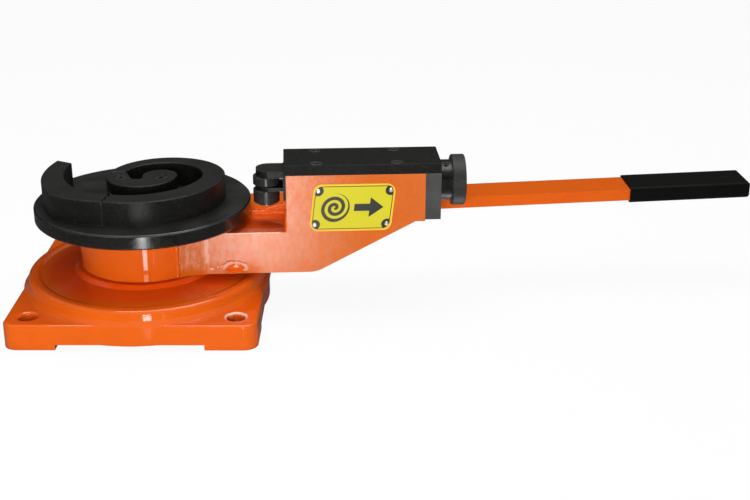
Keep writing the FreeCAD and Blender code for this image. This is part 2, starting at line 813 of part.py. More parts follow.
def build_outer_former():
    """Outer stretch of the scroll, from the parting to its free tip."""
    gap = "seam_gap"
    body = former_body("outer_former", [
        (f"parting_x - {gap}", SEAM_FOOT),
        (f"parting_x + 2.0 - {gap}", f"{SEAM_FOOT} + outer_root_wall", "outer_bore_radius", -1),
        ("outer_tip_x + outer_wall*cos(outer_tip_turn)", "outer_tip_y - outer_wall*sin(outer_tip_turn)"),
        ("outer_tip_x", "outer_tip_y", "outer_nose_radius", 1),
        ("outer_corner_x", f"{SEAM_FOOT} + outer_corner_rise", "outer_flank_radius", 1),
    ])
    drill_dowels(body)
    return body


def drill_dowels(body):
    """Blind holes in a segment's underside for its two dowels."""
    sketch = sketch_on(body, "XY_Plane", DISK_TOP)
    for x, y in DOWELS[body.Label]:
        circle(sketch, x, y, "dowel_radius")
    sink(body, sketch, "dowel_depth", forwards=True)


def build_dowels(former):
    pins = []
    for x, y in DOWELS[former]:
        pin = solid("Cylinder", Radius="dowel_radius", Height="2*dowel_depth")
        pins.append(move(pin, x=x, y=y, z=f"{DISK_TOP} - dowel_depth"))
    return group(f"{former}_dowels", pins)


def build_former_screws():
    screws = []
    for side in (-1, 1):
        screw = socket_screw("m8_radius", "former_screw_length + former_height - m8_cap_height",
                             "m8_cap_radius", "m8_cap_height", "m8_socket", "former_screw_turn")
        top = f"{FORMER_TOP} - cap_clearance"
        screws.append(move(screw, x=f"{side}*former_screw_x", y="former_screw_y", z=top))
    return group("former_screws", screws)


for piece in (
    build_base_casting(),
    build_spindle(),
    build_spindle_key(),
    ring("spindle_washer", "tail_radius", "washer_radius", "boss_bottom - washer_thickness", "boss_bottom"),
    build_spindle_nut(),
    ring("thrust_washer", "thrust_inner + running_fit", "thrust_outer - running_fit",
         "seat_top - thrust_recess", "seat_top - thrust_recess + thrust_thickness"),
    build_disk(),
    *build_former_set_screw(),
    build_former_screws(),
    build_middle_former(),
    build_dowels("middle_former"),
    build_outer_former(),
    build_dowels("outer_former"),
):
    keep(piece)

# ---------------------------------------------------------------- swinging arm

ARM_RISE = f"(({TAIL_BOTTOM} - {HUB_BOTTOM})/({TAIL_START} - slant_start))"


def arm_underside():
    """The arm's lower edge: level from the hub, rounded into the slant, and level again at the
    housing's end."""
    lean = f"atan({ARM_RISE})"
    run_out = f"(slant_rounding*tan({lean}/2))"
    return [
        ("hub_radius/2", HUB_BOTTOM),
        (f"slant_start - {run_out}", HUB_BOTTOM, "slant_rounding", 1),
        (f"slant_start + {run_out}*cos({lean})", f"{HUB_BOTTOM} + {run_out}*sin({lean})"),
        (TAIL_START, TAIL_BOTTOM),
        (HOUSING_RIGHT, TAIL_BOTTOM),
    ]


def build_side_plate(label, front, rear, side):
    """One cheek of the arm: low from the hub to the housing, tall along the housing, and slanting
    up underneath to the end plate."""
    body = plate(label, [
        *arm_underside(),
        (HOUSING_RIGHT, HOUSING_TOP),
        ("housing_left", HOUSING_TOP),
        ("housing_left", ARM_TOP),
        ("hub_radius/2", ARM_TOP),
    ], front, rear)
    trim_to_hub(body)
    tapped = sketch_on(body, "XY_Plane", HOUSING_TOP)
    screw_y = f"arm_offset + ({side})*cover_screw_side"
    for x in ("cover_screw_x", COVER_SCREW_RIGHT):
        circle(tapped, x, screw_y, "m6_radius")
    sink(body, tapped, "cover_screw_length - cover_thickness + 2")
    ends = sketch_on(body, "YZ_Plane", HOUSING_RIGHT)
    for step in (0, 1):
        screw_z = f"{HOUSING_TOP} - end_screw_drop - {step}*end_screw_pitch"
        circle(ends, f"({front} + {rear})/2", screw_z, "m6_radius")
    sink(body, ends, END_HOLE_DEPTH)
    return body


def build_arm_bottom_plate():
    """Underside of the arm between its cheeks, level and then slanting up with them."""
    inner_top = f"({TAIL_BOTTOM} + web_thickness)"
    level = f"({HUB_BOTTOM} + web_thickness)"
    upright = f"(web_thickness*sqrt(1 + {ARM_RISE}^2))"
    body = plate("arm_bottom_plate", [
        *arm_underside(),
        (HOUSING_RIGHT, inner_top),
        (f"slant_start + ({inner_top} - {HUB_BOTTOM} - {upright})/{ARM_RISE}", inner_top),
        (f"slant_start + (web_thickness - {upright})/{ARM_RISE}", level),
        ("hub_radius/2", level),
    ], CHANNEL_FRONT, CHANNEL_REAR)
    trim_to_hub(body)
    return body


def build_front_hub_blend():
    """Filler with a hollow face that carries the hub's front smoothly into the front cheek."""
    body = new_body("front_hub_blend")
    reach = "(hub_radius + blend_radius)"
    centre_y = f"({FRONT_FACE} - blend_radius)"
    centre_x = f"sqrt({reach}^2 - {centre_y}^2)"
    face = sketch_on(body, "XY_Plane", HUB_BOTTOM)
    outline(face, [
        (f"{centre_x}*hub_radius/{reach}", f"{centre_y}*hub_radius/{reach}", "blend_radius", -1),
        (centre_x, FRONT_FACE),
        (f"sqrt(hub_radius^2 - {FRONT_FACE}^2)", FRONT_FACE, "hub_radius", -1),
    ])
    grow(body, face, "arm_height")
    return body


def build_channel_plates():
    """The three plates between the cheeks above the bottom: the arm's deck, the upright web that
    closes the housing's mouth below the slide, and the floor that the slide runs on."""
    web_right = "(housing_left + web_thickness)"
    deck = plate("arm_deck", [
        ("hub_radius/2", f"{ARM_TOP} - web_thickness"),
        (web_right, f"{ARM_TOP} - web_thickness"),
        (web_right, ARM_TOP),
        ("hub_radius/2", ARM_TOP),
    ], CHANNEL_FRONT, CHANNEL_REAR)
    trim_to_hub(deck)
    under_floor = f"({FLOOR_TOP} - web_thickness)"
    web = plate("housing_web", [
        ("housing_left", ARM_TOP),
        (web_right, ARM_TOP),
        (web_right, under_floor),
        ("housing_left", under_floor),
    ], CHANNEL_FRONT, CHANNEL_REAR)
    floor = plate("guide_floor", [
        ("housing_left", under_floor),
        (HOUSING_RIGHT, under_floor),
        (HOUSING_RIGHT, FLOOR_TOP),
        ("housing_left", FLOOR_TOP),
    ], CHANNEL_FRONT, CHANNEL_REAR)
    return [deck, web, floor]


def build_cover_plate():
    """Flat lid over the slide, screwed to both cheeks and lapping over the end plate."""
    body = new_body("cover_plate")
    face = sketch_on(body, "XY_Plane", HOUSING_TOP)
    rectangle(face, COVER_LEFT, FRONT_FACE, END_FACE, REAR_FACE)
    for x, y in cover_screw_places():
        circle(face, x, y, "m6_radius + m6_clearance")
    grow(body, face, "cover_thickness")
    top = amount(COVER_TOP)
    hole = amount("m6_radius + m6_clearance")
    dress_edges(body, "Chamfer", "m6_head_radius - m6_radius",
                lambda edge: lies_at(edge, top) and is_round(edge, hole))
    dress_edges(body, "Chamfer", "cover_chamfer",
                lambda edge: lies_at(edge, top) and not isinstance(edge.Curve, Part.Circle))
    return body


def cover_screw_places():
    return [(x, f"arm_offset + ({side})*cover_screw_side")
            for x in ("cover_screw_x", COVER_SCREW_RIGHT) for side in (-1, 1)]


def build_cover_screws():
    screws = []
    for x, y in cover_screw_places():
        screw = countersunk_screw("m6_radius", "cover_screw_length", "m6_head_radius",
                                  "m6_head_socket")
        screws.append(move(screw, x=x, y=y, z=COVER_TOP))
    return group("cover_screws", screws)


def end_screw_places():
    return [(f"arm_offset + ({side})*{SIDE_CENTRE}",
             f"{HOUSING_TOP} - end_screw_drop - {step}*end_screw_pitch")
            for step in (0, 1) for side in (-1, 1)]


def build_end_plate():
    """Thick plate that closes the housing and carries the feed screw in a plain bore."""
    body = new_body("end_plate")
    face = sketch_on(body, "YZ_Plane", HOUSING_RIGHT)
    rectangle(face, FRONT_FACE, f"{HOUSING_TOP} - end_plate_height", REAR_FACE, HOUSING_TOP)
    circle(face, "arm_offset", SCREW_AXIS, "screw_radius + running_fit")
    for y, z in end_screw_places():
        circle(face, y, z, "m6_radius + m6_clearance")
    grow(body, face, "end_plate_thickness")
    seats = sketch_on(body, "YZ_Plane", END_FACE)
    for y, z in end_screw_places():
        circle(seats, y, z, "m6_cap_radius + cap_clearance")
    sink(body, seats, "m6_cap_height + cap_clearance")
    return body


def build_end_screws():
    screws = []
    for y, z in end_screw_places():
        screw = socket_screw("m6_radius", "end_screw_length - cap_clearance",
                             "m6_cap_radius", "m6_cap_height", "m6_socket")
        screw.Placement = Placement(Vector(), Rotation(Vector(0, 1, 0), 90))
        screws.append(move(screw, x=f"{END_FACE} - cap_clearance", y=y, z=z))
    return group("end_plate_screws", screws)


def handle_top(x):
    return f"(handle_root_top + ({x})*tan(handle_slope))"


def build_handle_bar():
    """Flat bar laid on its side, welded to the hub and along the rear cheek, rising to its end."""
    low = "handle_thickness/cos(handle_slope)"
    body = plate("handle_bar", [
        ("handle_root_x", f"{handle_top('handle_root_x')} - {low}"),
        ("handle_end", f"{handle_top('handle_end')} - {low}"),
        ("handle_end", handle_top("handle_end")),
        ("handle_root_x", handle_top("handle_root_x")),
    ], REAR_FACE, f"({REAR_FACE} + handle_width)")
    trim_to_hub(body)
    return body


def build_handle_grip():
    """Rubber sleeve over the end of the bar, closed at its outer end."""
    low = "handle_thickness/cos(handle_slope)"
    grip_end = "(handle_end + grip_cap)"
    body = plate("handle_grip", [
        ("grip_start", f"{handle_top('grip_start')} - {low} - grip_wall"),
        (grip_end, f"{handle_top(grip_end)} - {low} - grip_wall"),
        (grip_end, f"{handle_top(grip_end)} + grip_wall"),
        ("grip_start", f"{handle_top('grip_start')} + grip_wall"),
    ], f"({REAR_FACE} - grip_wall)", f"({REAR_FACE} + handle_width + grip_wall)")
    far = amount("grip_start") + 1.0
    dress_edges(body, "Fillet", "1.4*grip_wall", lambda edge: edge.BoundBox.XMax > far)
    bar_space = sketch_on(body, "XZ_Plane", f"-({REAR_FACE} + handle_width)")
    before = "(grip_start - grip_cap)"
    outline(bar_space, [
        (before, f"{handle_top(before)} - {low}"),
        ("handle_end", f"{handle_top('handle_end')} - {low}"),
        ("handle_end", handle_top("handle_end")),
        (before, handle_top(before)),
    ])
    sink(body, bar_space, "handle_width", forwards=True)
    return body


def nameplate_corner_points(inset_x, inset_y):
    """The nameplate's four corners, drawn in from its edges; the plate leans as it rises."""
    points = []
    for up in (0, 1):
        z = f"(nameplate_bottom + {up}*nameplate_height + {1 - 2*up}*({inset_y}))"
        lean = f"(nameplate_lean*({z} - nameplate_bottom)/nameplate_height)"
        for across in (0, 1):
            x = f"(nameplate_left + {lean} + {across}*nameplate_length + {1 - 2*across}*({inset_x}))"
            points.append((x, z))
    return points


def build_nameplate():
    """Thin leaning plate with rounded corners, riveted to the front cheek."""
    radius = "nameplate_corner"
    body = new_body("nameplate")
    face = sketch_on(body, "XZ_Plane", f"-{FRONT_FACE}")
    low_left, low_right, high_left, high_right = nameplate_corner_points("0", "0")
    lean_step = f"(nameplate_lean*{radius}/nameplate_height)"
    outline(face, [
        (f"{low_left[0]} + {radius}", low_left[1]),
        (f"{low_right[0]} - {radius}", low_right[1], radius, 1),
        (f"{low_right[0]} + {lean_step}", f"{low_right[1]} + {radius}"),
        (f"{high_right[0]} - {lean_step}", f"{high_right[1]} - {radius}", radius, 1),
        (f"{high_right[0]} - {radius}", high_right[1]),
        (f"{high_left[0]} + {radius}", high_left[1], radius, 1),
        (f"{high_left[0]} - {lean_step}", f"{high_left[1]} - {radius}"),
        (f"{low_left[0]} + {lean_step}", f"{low_left[1]} + {radius}", radius, 1),
    ])
    for x, z in nameplate_corner_points("rivet_inset_x", "rivet_inset_y"):
        circle(face, x, z, "rivet_radius")
    grow(body, face, "nameplate_thickness")
    return body


def build_rivets():
    rivets = []
    for x, z in nameplate_corner_points("rivet_inset_x", "rivet_inset_y"):
        shank = move(solid("Cylinder", Radius="rivet_radius", Height="rivet_length"), z="-rivet_length")
        cone = solid("Cone", Radius1="rivet_head_radius", Radius2="rivet_radius", Height="rivet_head_height")
        rivet = fused(shank, cone)
        rivet.Placement = Placement(Vector(), Rotation(Vector(1, 0, 0), 90))
        rivets.append(move(rivet, x=x, y=f"{FRONT_FACE} - nameplate_thickness", z=z))
    return group("nameplate_rivets", rivets)


def drill_rivet_holes(body):
    """Blind holes in the front cheek for the nameplate's rivets."""
    holes = sketch_on(body, "XZ_Plane", f"-{FRONT_FACE}")
    for x, z in nameplate_corner_points("rivet_inset_x", "rivet_inset_y"):
        circle(holes, x, z, "rivet_radius")
    sink(body, holes, "rivet_length - nameplate_thickness")


front_plate = build_side_plate("front_side_plate", FRONT_FACE, CHANNEL_FRONT, -1)
drill_rivet_holes(front_plate)
BUSH_OUTER = "(spindle_radius + running_fit + bush_wall)"
for piece in (
    ring("swing_hub", BUSH_OUTER, "hub_radius", HUB_BOTTOM, HUB_TOP, "hub_chamfer"),
    ring("hub_bush", "(spindle_radius + running_fit)", BUSH_OUTER, HUB_BOTTOM, HUB_TOP),
    front_plate,
    build_side_plate("rear_side_plate", CHANNEL_REAR, REAR_FACE, 1),
    build_arm_bottom_plate(),
    build_front_hub_blend(),
    *build_channel_plates(),
    build_cover_plate(),
    build_cover_screws(),
    build_end_plate(),
    build_end_screws(),
    build_handle_bar(),
    build_handle_grip(),
    build_nameplate(),
    build_rivets(),
):
    keep(on_arm(piece))


# ---------------------------------------------------------------- feed screw and knob

def build_feed_screw():
    """Plain rod through the end plate; its thread is shown only by its diameter."""
    knob_end = f"({BOSS_LEFT} + knob_bore_depth)"
    return turned("feed_screw", [
        ("screw_start", "0"),
        (knob_end, "0"),
        (knob_end, "screw_radius"),
        ("screw_start + screw_radius/4", "screw_radius"),
        ("screw_start", "screw_radius*3/4"),
    ], "H_Axis")


def build_hand_knob():
    """Round knob with a smaller boss, bored blind for the screw's end."""
    return turned("hand_knob", [
        (f"{BOSS_LEFT} + knob_bore_depth", "0"),
        (KNOB_RIGHT, "0"),
        (KNOB_RIGHT, "knob_radius - knob_edge"),
        (f"{KNOB_RIGHT} - knob_edge", "knob_radius"),
        (f"{KNOB_LEFT} + knob_edge", "knob_radius"),
        (KNOB_LEFT, "knob_radius - knob_edge"),
        (KNOB_LEFT, "boss_radius"),
        (BOSS_LEFT, "boss_radius"),
        (BOSS_LEFT, "screw_radius"),
        (f"{BOSS_LEFT} + knob_bore_depth", "screw_radius"),
    ], "H_Axis")


def cross_drilled(body, radius, x, reach, turn):
    """The turned body with a radial hole at x, from its axis out to reach, turned towards the front."""
    drill = solid("Cylinder", Radius=radius, Height=reach)
    drill.Placement = Placement(Vector(), Rotation(Vector(1, 0, 0), amount(turn)))
    bind(drill, "Placement.Rotation.Angle", turn)
    return drilled(body, move(drill, x=x))


def build_set_screw(label, radius, x, rim, turn):
    """Headless screw that runs in from just under the rim to the feed screw."""
    top = f"({rim} - set_screw_sink)"
    screw = grub_screw(radius, f"{top} - screw_radius", radius)
    screw.Placement = Placement(Vector(), Rotation(Vector(1, 0, 0), amount(turn)))
    bind(screw, "Placement.Rotation.Angle", turn)
    return group(label, [move(screw, x=x, y=f"-{top}*sin({turn})", z=f"{top}*cos({turn})")])


BOSS_MIDDLE = f"({BOSS_LEFT} + boss_length/2)"
COLLAR_MIDDLE = f"({COLLAR_RIGHT} - collar_length/2)"
collar = turned("thrust_collar", [
    (f"{COLLAR_RIGHT} - collar_length", "screw_radius"),
    (COLLAR_RIGHT, "screw_radius"),
    (COLLAR_RIGHT, "collar_radius"),
    (f"{COLLAR_RIGHT} - collar_length", "collar_radius"),
], "H_Axis")
for piece in (
    build_feed_screw(),
    cross_drilled(collar, "collar_screw_radius", COLLAR_MIDDLE, "2*collar_radius", "0"),
    build_set_screw("collar_set_screw", "collar_screw_radius", COLLAR_MIDDLE, "collar_radius", "0"),
    cross_drilled(build_hand_knob(), "set_screw_radius", BOSS_MIDDLE, "2*boss_radius", "set_screw_turn"),
    build_set_screw("knob_set_screw", "set_screw_radius", BOSS_MIDDLE, "boss_radius", "set_screw_turn"),
):
    keep(on_arm(piece, y="arm_offset", z=SCREW_AXIS))


# ---------------------------------------------------------------- slide and rollers

def build_slide_block():
    """Square slide with two lugs that reach out over the disk, bored for the feed screw."""
    body = new_body("slide_block")
    half_width = "(housing_width/2 - side_thickness - slide_play)"
    block = sketch_on(body, "XY_Plane", SLIDE_BOTTOM)
    rectangle(block, SLIDE_LEFT, f"-{half_width}", SLIDE_RIGHT, half_width)
    grow(body, block, f"{SLIDE_TOP} - {SLIDE_BOTTOM}")
    half_lug = "(lug_width/2)"
    lug_end = f"({SLIDE_LEFT} - lug_reach)"
    lugs = ((UPPER_LUG_BOTTOM, "upper_lug_thickness"), (MIDDLE_LUG_BOTTOM, "middle_lug_thickness"))
    for bottom, thickness in lugs:
        lug = sketch_on(body, "XY_Plane", bottom)
        outline(lug, [
            (f"{SLIDE_LEFT} + lug_root", half_lug),
            (f"{lug_end} + lug_corner_radius", half_lug, "lug_corner_radius", 1),
            (lug_end, f"{half_lug} - lug_corner_radius"),
            (lug_end, f"-({half_lug} - lug_corner_radius)", "lug_corner_radius", 1),
            (f"{lug_end} + lug_corner_radius", f"-{half_lug}"),
            (f"{SLIDE_LEFT} + lug_root", f"-{half_lug}"),
        ])
        grow(body, lug, thickness)
    pin_hole = sketch_on(body, "XY_Plane", DISK_TOP)
    circle(pin_hole, "roller_x", "0", "roller_pin_radius")
    sink(body, pin_hole, f"{PIN_TOP} - {DISK_TOP}", forwards=True)
    bores = (("slide_bore_radius", "slide_bore_depth"), ("feed_nut_radius", "feed_nut_length"))
    for radius, depth in bores:
        bore = sketch_on(body, "YZ_Plane", SLIDE_RIGHT)
        circle(bore, "0", SCREW_AXIS, radius)
        sink(body, bore, depth)
    return body


def build_roller_pin():
    """Headed pin up through both rollers and the middle lug into the upper lug."""
    head_top = f"({PIN_BOTTOM} + pin_head_height)"
    return turned("roller_pin", [
        ("0", PIN_BOTTOM),
        ("pin_head_radius - 0.6", PIN_BOTTOM),
        ("pin_head_radius", f"{PIN_BOTTOM} + 0.6"),
        ("pin_head_radius", head_top),
        ("roller_pin_radius", head_top),
        ("roller_pin_radius", PIN_TOP),
        ("0", PIN_TOP),
    ])


def build_rollers():
    """Two plain rollers on one pin; the lower one sits on the pin's head."""
    bore = "(roller_pin_radius + running_fit)"
    rim = "(roller_radius - roller_chamfer)"
    upper = turned("upper_roller", [
        (bore, UPPER_ROLLER_BOTTOM),
        (rim, UPPER_ROLLER_BOTTOM),
        ("roller_radius", f"{UPPER_ROLLER_BOTTOM} + roller_chamfer"),
        ("roller_radius", f"{UPPER_ROLLER_TOP} - roller_chamfer"),
        (rim, UPPER_ROLLER_TOP),
        (bore, UPPER_ROLLER_TOP),
    ])
    lower = turned("lower_roller", [
        (bore, LOWER_ROLLER_BOTTOM),
        (rim, LOWER_ROLLER_BOTTOM),
        ("roller_radius", f"{LOWER_ROLLER_BOTTOM} + roller_chamfer"),
        ("roller_radius", f"{LOWER_ROLLER_TOP} - roller_chamfer"),
        (rim, LOWER_ROLLER_TOP),
        (bore, LOWER_ROLLER_TOP),
    ])
    return [upper, lower]


def build_feed_nut():
    """Bronze nut pressed into the slide's rear end."""
    return turned("feed_nut", [
        (f"{SLIDE_RIGHT} - feed_nut_length", "screw_radius + running_fit"),
        (SLIDE_RIGHT, "screw_radius + running_fit"),
        (SLIDE_RIGHT, "feed_nut_radius"),
        (f"{SLIDE_RIGHT} - feed_nut_length", "feed_nut_radius"),
    ], "H_Axis")


keep(on_arm(build_slide_block(), y="arm_offset"))
keep(on_arm(build_feed_nut(), y="arm_offset", z=SCREW_AXIS))
for piece in (build_roller_pin(), *build_rollers()):
    keep(on_arm(piece, x="roller_x", y="arm_offset"))

# ---------------------------------------------------------------- check and write

doc.recompute()
for item in doc.Objects:
    if "Invalid" in item.State or "Error" in item.State:
        raise RuntimeError(f"{item.Label} failed: {item.State}")
    if item.TypeId == "PartDesign::Pocket" and item.Shape.Volume >= item.BaseFeature.Shape.Volume - 1e-3:
        raise RuntimeError(f"{item.Label} cuts nothing")
for item in subparts:
    if item.Shape.isNull() or not item.Shape.isValid():
        raise RuntimeError(f"{item.Label} has no valid shape")
for item in subparts:
    item.Shape.exportStep(f"parts/{item.Label}.step")
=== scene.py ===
"""Scroll bender, dressed for rendering: the CAD frame gets its finishes, and the welds, their spatter and a
bead along the deck's edge, painted pale as a highlight, are added on top. Metres, +Z up."""
import math
import random

import bpy
from mathutils import Matrix, Vector


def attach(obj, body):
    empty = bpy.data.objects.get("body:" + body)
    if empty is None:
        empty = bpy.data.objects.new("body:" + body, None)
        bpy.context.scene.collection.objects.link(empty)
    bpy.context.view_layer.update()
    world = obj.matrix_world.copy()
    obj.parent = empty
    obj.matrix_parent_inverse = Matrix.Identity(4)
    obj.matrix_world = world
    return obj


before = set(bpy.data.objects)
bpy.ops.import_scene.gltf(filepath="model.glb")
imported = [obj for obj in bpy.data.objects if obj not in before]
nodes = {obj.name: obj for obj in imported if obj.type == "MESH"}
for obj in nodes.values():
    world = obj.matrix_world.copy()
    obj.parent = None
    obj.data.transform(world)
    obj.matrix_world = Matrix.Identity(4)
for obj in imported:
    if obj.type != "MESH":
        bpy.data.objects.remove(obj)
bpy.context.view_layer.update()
bpy.ops.object.select_all(action="DESELECT")


# ---------------------------------------------------------------- base casting
# Grey iron casting with four feet, a dished round body and a raised seat for the arm's hub. The skin is
# slightly uneven from the mould and is sprayed with thick gloss orange enamel, which is rubbed away round the
# rim of the right front bolt hole. The dish carries a painted shade, a deeper and redder orange, under the
# disk.

NUMBER = "NodeSocketFloat"
VECTOR = "NodeSocketVector"


def new_group(title, taken, given):
    """An empty shader group with its inputs and outputs; returns the group and its two ends."""
    group = bpy.data.node_groups.new(title, "ShaderNodeTree")
    for way, sockets in (("INPUT", taken), ("OUTPUT", given)):
        for name, kind in sockets.items():
            group.interface.new_socket(name, in_out=way, socket_type=kind)
    return group, group.nodes.new("NodeGroupInput"), group.nodes.new("NodeGroupOutput")


def feed(tree, node, feeds):
    """Set or link a node's inputs, each by its name or its place."""
    for key, value in feeds.items():
        if isinstance(value, bpy.types.NodeSocket):
            tree.links.new(value, node.inputs[key])
        else:
            node.inputs[key].default_value = value


def add_node(tree, kind, feeds, **settings):
    """A node with its settings made and its inputs fed."""
    node = tree.nodes.new(kind)
    for name, value in settings.items():
        setattr(node, name, value)
    feed(tree, node, feeds)
    return node


def calc(tree, operation, *terms):
    """The result of one sum; each term is a number or a socket."""
    return add_node(tree, "ShaderNodeMath", dict(enumerate(terms)), operation=operation).outputs[0]


def ramp(tree, value, low, high, at_low=0.0, at_high=1.0):
    """A straight rise from at_low, where the value is low, to at_high, where it is high, and level
    beyond them."""
    feeds = dict(enumerate((value, low, high, at_low, at_high)))
    return add_node(tree, "ShaderNodeMapRange", feeds).outputs[0]


def noise(tree, where, scale, detail, roughness=0.5):
    """Random cloud, with scale patches to the metre."""
    return add_node(tree, "ShaderNodeTexNoise", {
        "Vector": where, "Scale": scale, "Detail": detail, "Roughness": roughness}).outputs["Fac"]


def split(tree, vector):
    """The X, Y and Z of a vector."""
    return add_node(tree, "ShaderNodeSeparateXYZ", {0: vector}).outputs


def blend_colours(tree, amount, first, second):
    """A colour mixed from first towards second; each is a socket or red, green and blue."""
    first, second = [end if isinstance(end, bpy.types.NodeSocket) else (*end, 1) for end in (first, second)]
    feeds = {"Factor": amount, 6: first, 7: second}
    return add_node(tree, "ShaderNodeMix", feeds, data_type="RGBA").outputs[2]


def relief(tree, depth, height, normal, strength=1.0):
    """The normal of a skin that rises and falls by depth over another normal."""
    return add_node(tree, "ShaderNodeBump", {
        "Strength": strength, "Distance": depth, "Height": height, "Normal": normal}).outputs[0]


def cast_skin_group():
    """Height and tone of a cast or sprayed skin: broad unevenness under fine orange peel."""
    group, start, end = new_group(
        "cast skin", {"Vector": VECTOR, "Peel Size": NUMBER, "Swell Size": NUMBER},
        {"Height": NUMBER, "Tone": NUMBER})
    peel_height = 0.16
    where = start.outputs["Vector"]
    peel = noise(group, where, calc(group, "DIVIDE", 1.0, start.outputs["Peel Size"]), detail=2.0)
    swell = noise(group, where, calc(group, "DIVIDE", 1.0, start.outputs["Swell Size"]), detail=3.0)
    fine = calc(group, "MULTIPLY", peel, peel_height)
    feed(group, end, {"Height": calc(group, "ADD", fine, swell), "Tone": swell})
    return group


def soft_edge_group():
    """Normal that rounds a sharp arris, and a mask of where it does."""
    group, start, end = new_group("soft edge", {"Radius": NUMBER}, {"Normal": VECTOR, "Edge": NUMBER})
    rounded = add_node(group, "ShaderNodeBevel", {"Radius": start.outputs["Radius"]}, samples=6).outputs[0]
    flat = add_node(group, "ShaderNodeNewGeometry", {}).outputs["Normal"]
    facing = add_node(group, "ShaderNodeVectorMath", {0: rounded, 1: flat}, operation="DOT_PRODUCT")
    turned = calc(group, "SUBTRACT", 1.0, facing.outputs["Value"])
    feed(group, end, {"Normal": rounded, "Edge": ramp(group, turned, low=0.01, high=0.22)})
    return group


CAST_SKIN = cast_skin_group()
SOFT_EDGE = soft_edge_group()


def blank_material(title):
    """A node material with a Principled shader; returns the material, its tree and the shader."""
    material = bpy.data.materials.new(title)
    material.use_nodes = True
    tree = material.node_tree
    return material, tree, tree.nodes["Principled BSDF"]


def place_group(tree, group, feeds):
    """A shader group placed in a material, with its inputs fed."""
    return add_node(tree, "ShaderNodeGroup", feeds, node_tree=group)


def object_space(tree):
    """The place on the piece, in metres."""
    return add_node(tree, "ShaderNodeTexCoord", {}).outputs["Object"]


def facing_up(tree):
    """How far the surface faces up: 1 for a level top, 0 for an upright side."""
    return split(tree, add_node(tree, "ShaderNodeNewGeometry", {}).outputs["Normal"])[2]


def orange_enamel(title, peel, swell, bump, arris=0.0012, coat_roughness=0.05, deep=(0.68, 0.097, 0.0042),
                  pale=(0.75, 0.118, 0.0057), level_painted_light=(0.78, 0.078, 0.0028), painted_glints=0.0):
    """Gloss orange enamel, deep to pale on upright faces; level faces take another colour as painted light
    and shade. Along each arris it is paler, partly where it is drawn thin and partly as a painted highlight,
    and most of all in scattered painted glint spots. Peel and swell are the widths of its fine and its broad
    unevenness, and bump is their depth."""
    # Paler orange along the arrises: partly paint drawn thin, partly a painted highlight.
    thin_paint_highlight = (0.88, 0.26, 0.045)
    least_edge_highlight = 0.35
    material, tree, shader = blank_material(title)
    where = object_space(tree)
    skin = place_group(tree, CAST_SKIN, {"Vector": where, "Peel Size": peel, "Swell Size": swell})
    edge = place_group(tree, SOFT_EDGE, {"Radius": arris})
    upright = blend_colours(tree, skin.outputs["Tone"], deep, pale)
    # Painted light and shade: level faces take their own colour.
    level = ramp(tree, facing_up(tree), low=0.3, high=0.95)
    body = blend_colours(tree, level, upright, level_painted_light)
    # Scattered painted glint spots along the arrises.
    painted_glint_spots = ramp(tree, noise(tree, where, scale=70.0, detail=3.0), low=0.50, high=0.62, at_high=painted_glints)
    thin = calc(tree, "MULTIPLY", edge.outputs["Edge"], calc(tree, "ADD", painted_glint_spots, least_edge_highlight))
    feed(tree, shader, {
        "Base Color": blend_colours(tree, thin, body, thin_paint_highlight),
        "Roughness": ramp(tree, skin.outputs["Tone"], low=0.3, high=0.7, at_low=0.30, at_high=0.42),
        "Normal": relief(tree, bump, skin.outputs["Height"], edge.outputs["Normal"]),
        "Specular IOR Level": 0.05,
        "Coat Weight": 1.0,
        "Coat Roughness": coat_roughness})
    return material


def coat(piece, material):
    """Give a piece its one material."""
    piece.data.materials.clear()
    piece.data.materials.append(material)


def finish(material, *names):
    """Give CAD nodes their one material."""
    for name in names:
        coat(nodes[name], material)


def paint_over(material, amount, colour):
    """Lay a colour over a material's own, by a mask in its tree."""
    tree = material.node_tree
    shader = tree.nodes["Principled BSDF"]
    below = shader.inputs["Base Color"].links[0].from_socket
    feed(tree, shader, {"Base Color": blend_colours(tree, amount, below, colour)})


def level_reach(tree, where, x, y):
    """Distance from the upright line through x and y."""
    level = add_node(tree, "ShaderNodeVectorMath", {0: where, 1: (1, 1, 0)}, operation="MULTIPLY")
    reach = add_node(tree, "ShaderNodeVectorMath", {0: level.outputs[0], 1: (x, y, 0)}, operation="DISTANCE")
    return reach.outputs["Value"]


def paint_dish_shade(material, radius):
    """Paint a deeper, redder orange in the dish within the raised rim, as painted shade under the disk."""
    dish_shade_orange = (0.88, 0.072, 0.0022)
    fade = 0.004
    tree = material.node_tree
    reach = level_reach(tree, object_space(tree), 0, 0)
    # Painted shade: a deeper, redder orange in the dish under the disk.
    inside = ramp(tree, reach, radius + fade, radius - fade, at_high=0.85)
    paint_over(material, inside, dish_shade_orange)


def rub_hole_rim(material, x, y, radius, width):
    """Rub the enamel off round the rim of an upright hole, in a ragged ring."""
    rubbed_orange = (0.82, 0.52, 0.40)
    straying = 0.0016
    tree = material.node_tree
    where = object_space(tree)
    ragged = calc(tree, "MULTIPLY", noise(tree, where, scale=170.0, detail=3.0), straying)
    strayed = calc(tree, "ADD", level_reach(tree, where, x, y), ragged)
    off_rim = calc(tree, "ABSOLUTE", calc(tree, "SUBTRACT", strayed, radius + straying / 2))
    rubbed = ramp(tree, off_rim, width, 0.4 * width, at_high=0.85)
    paint_over(material, rubbed, rubbed_orange)


DISH_RADIUS = 0.100
BOLT_REACH = 0.102
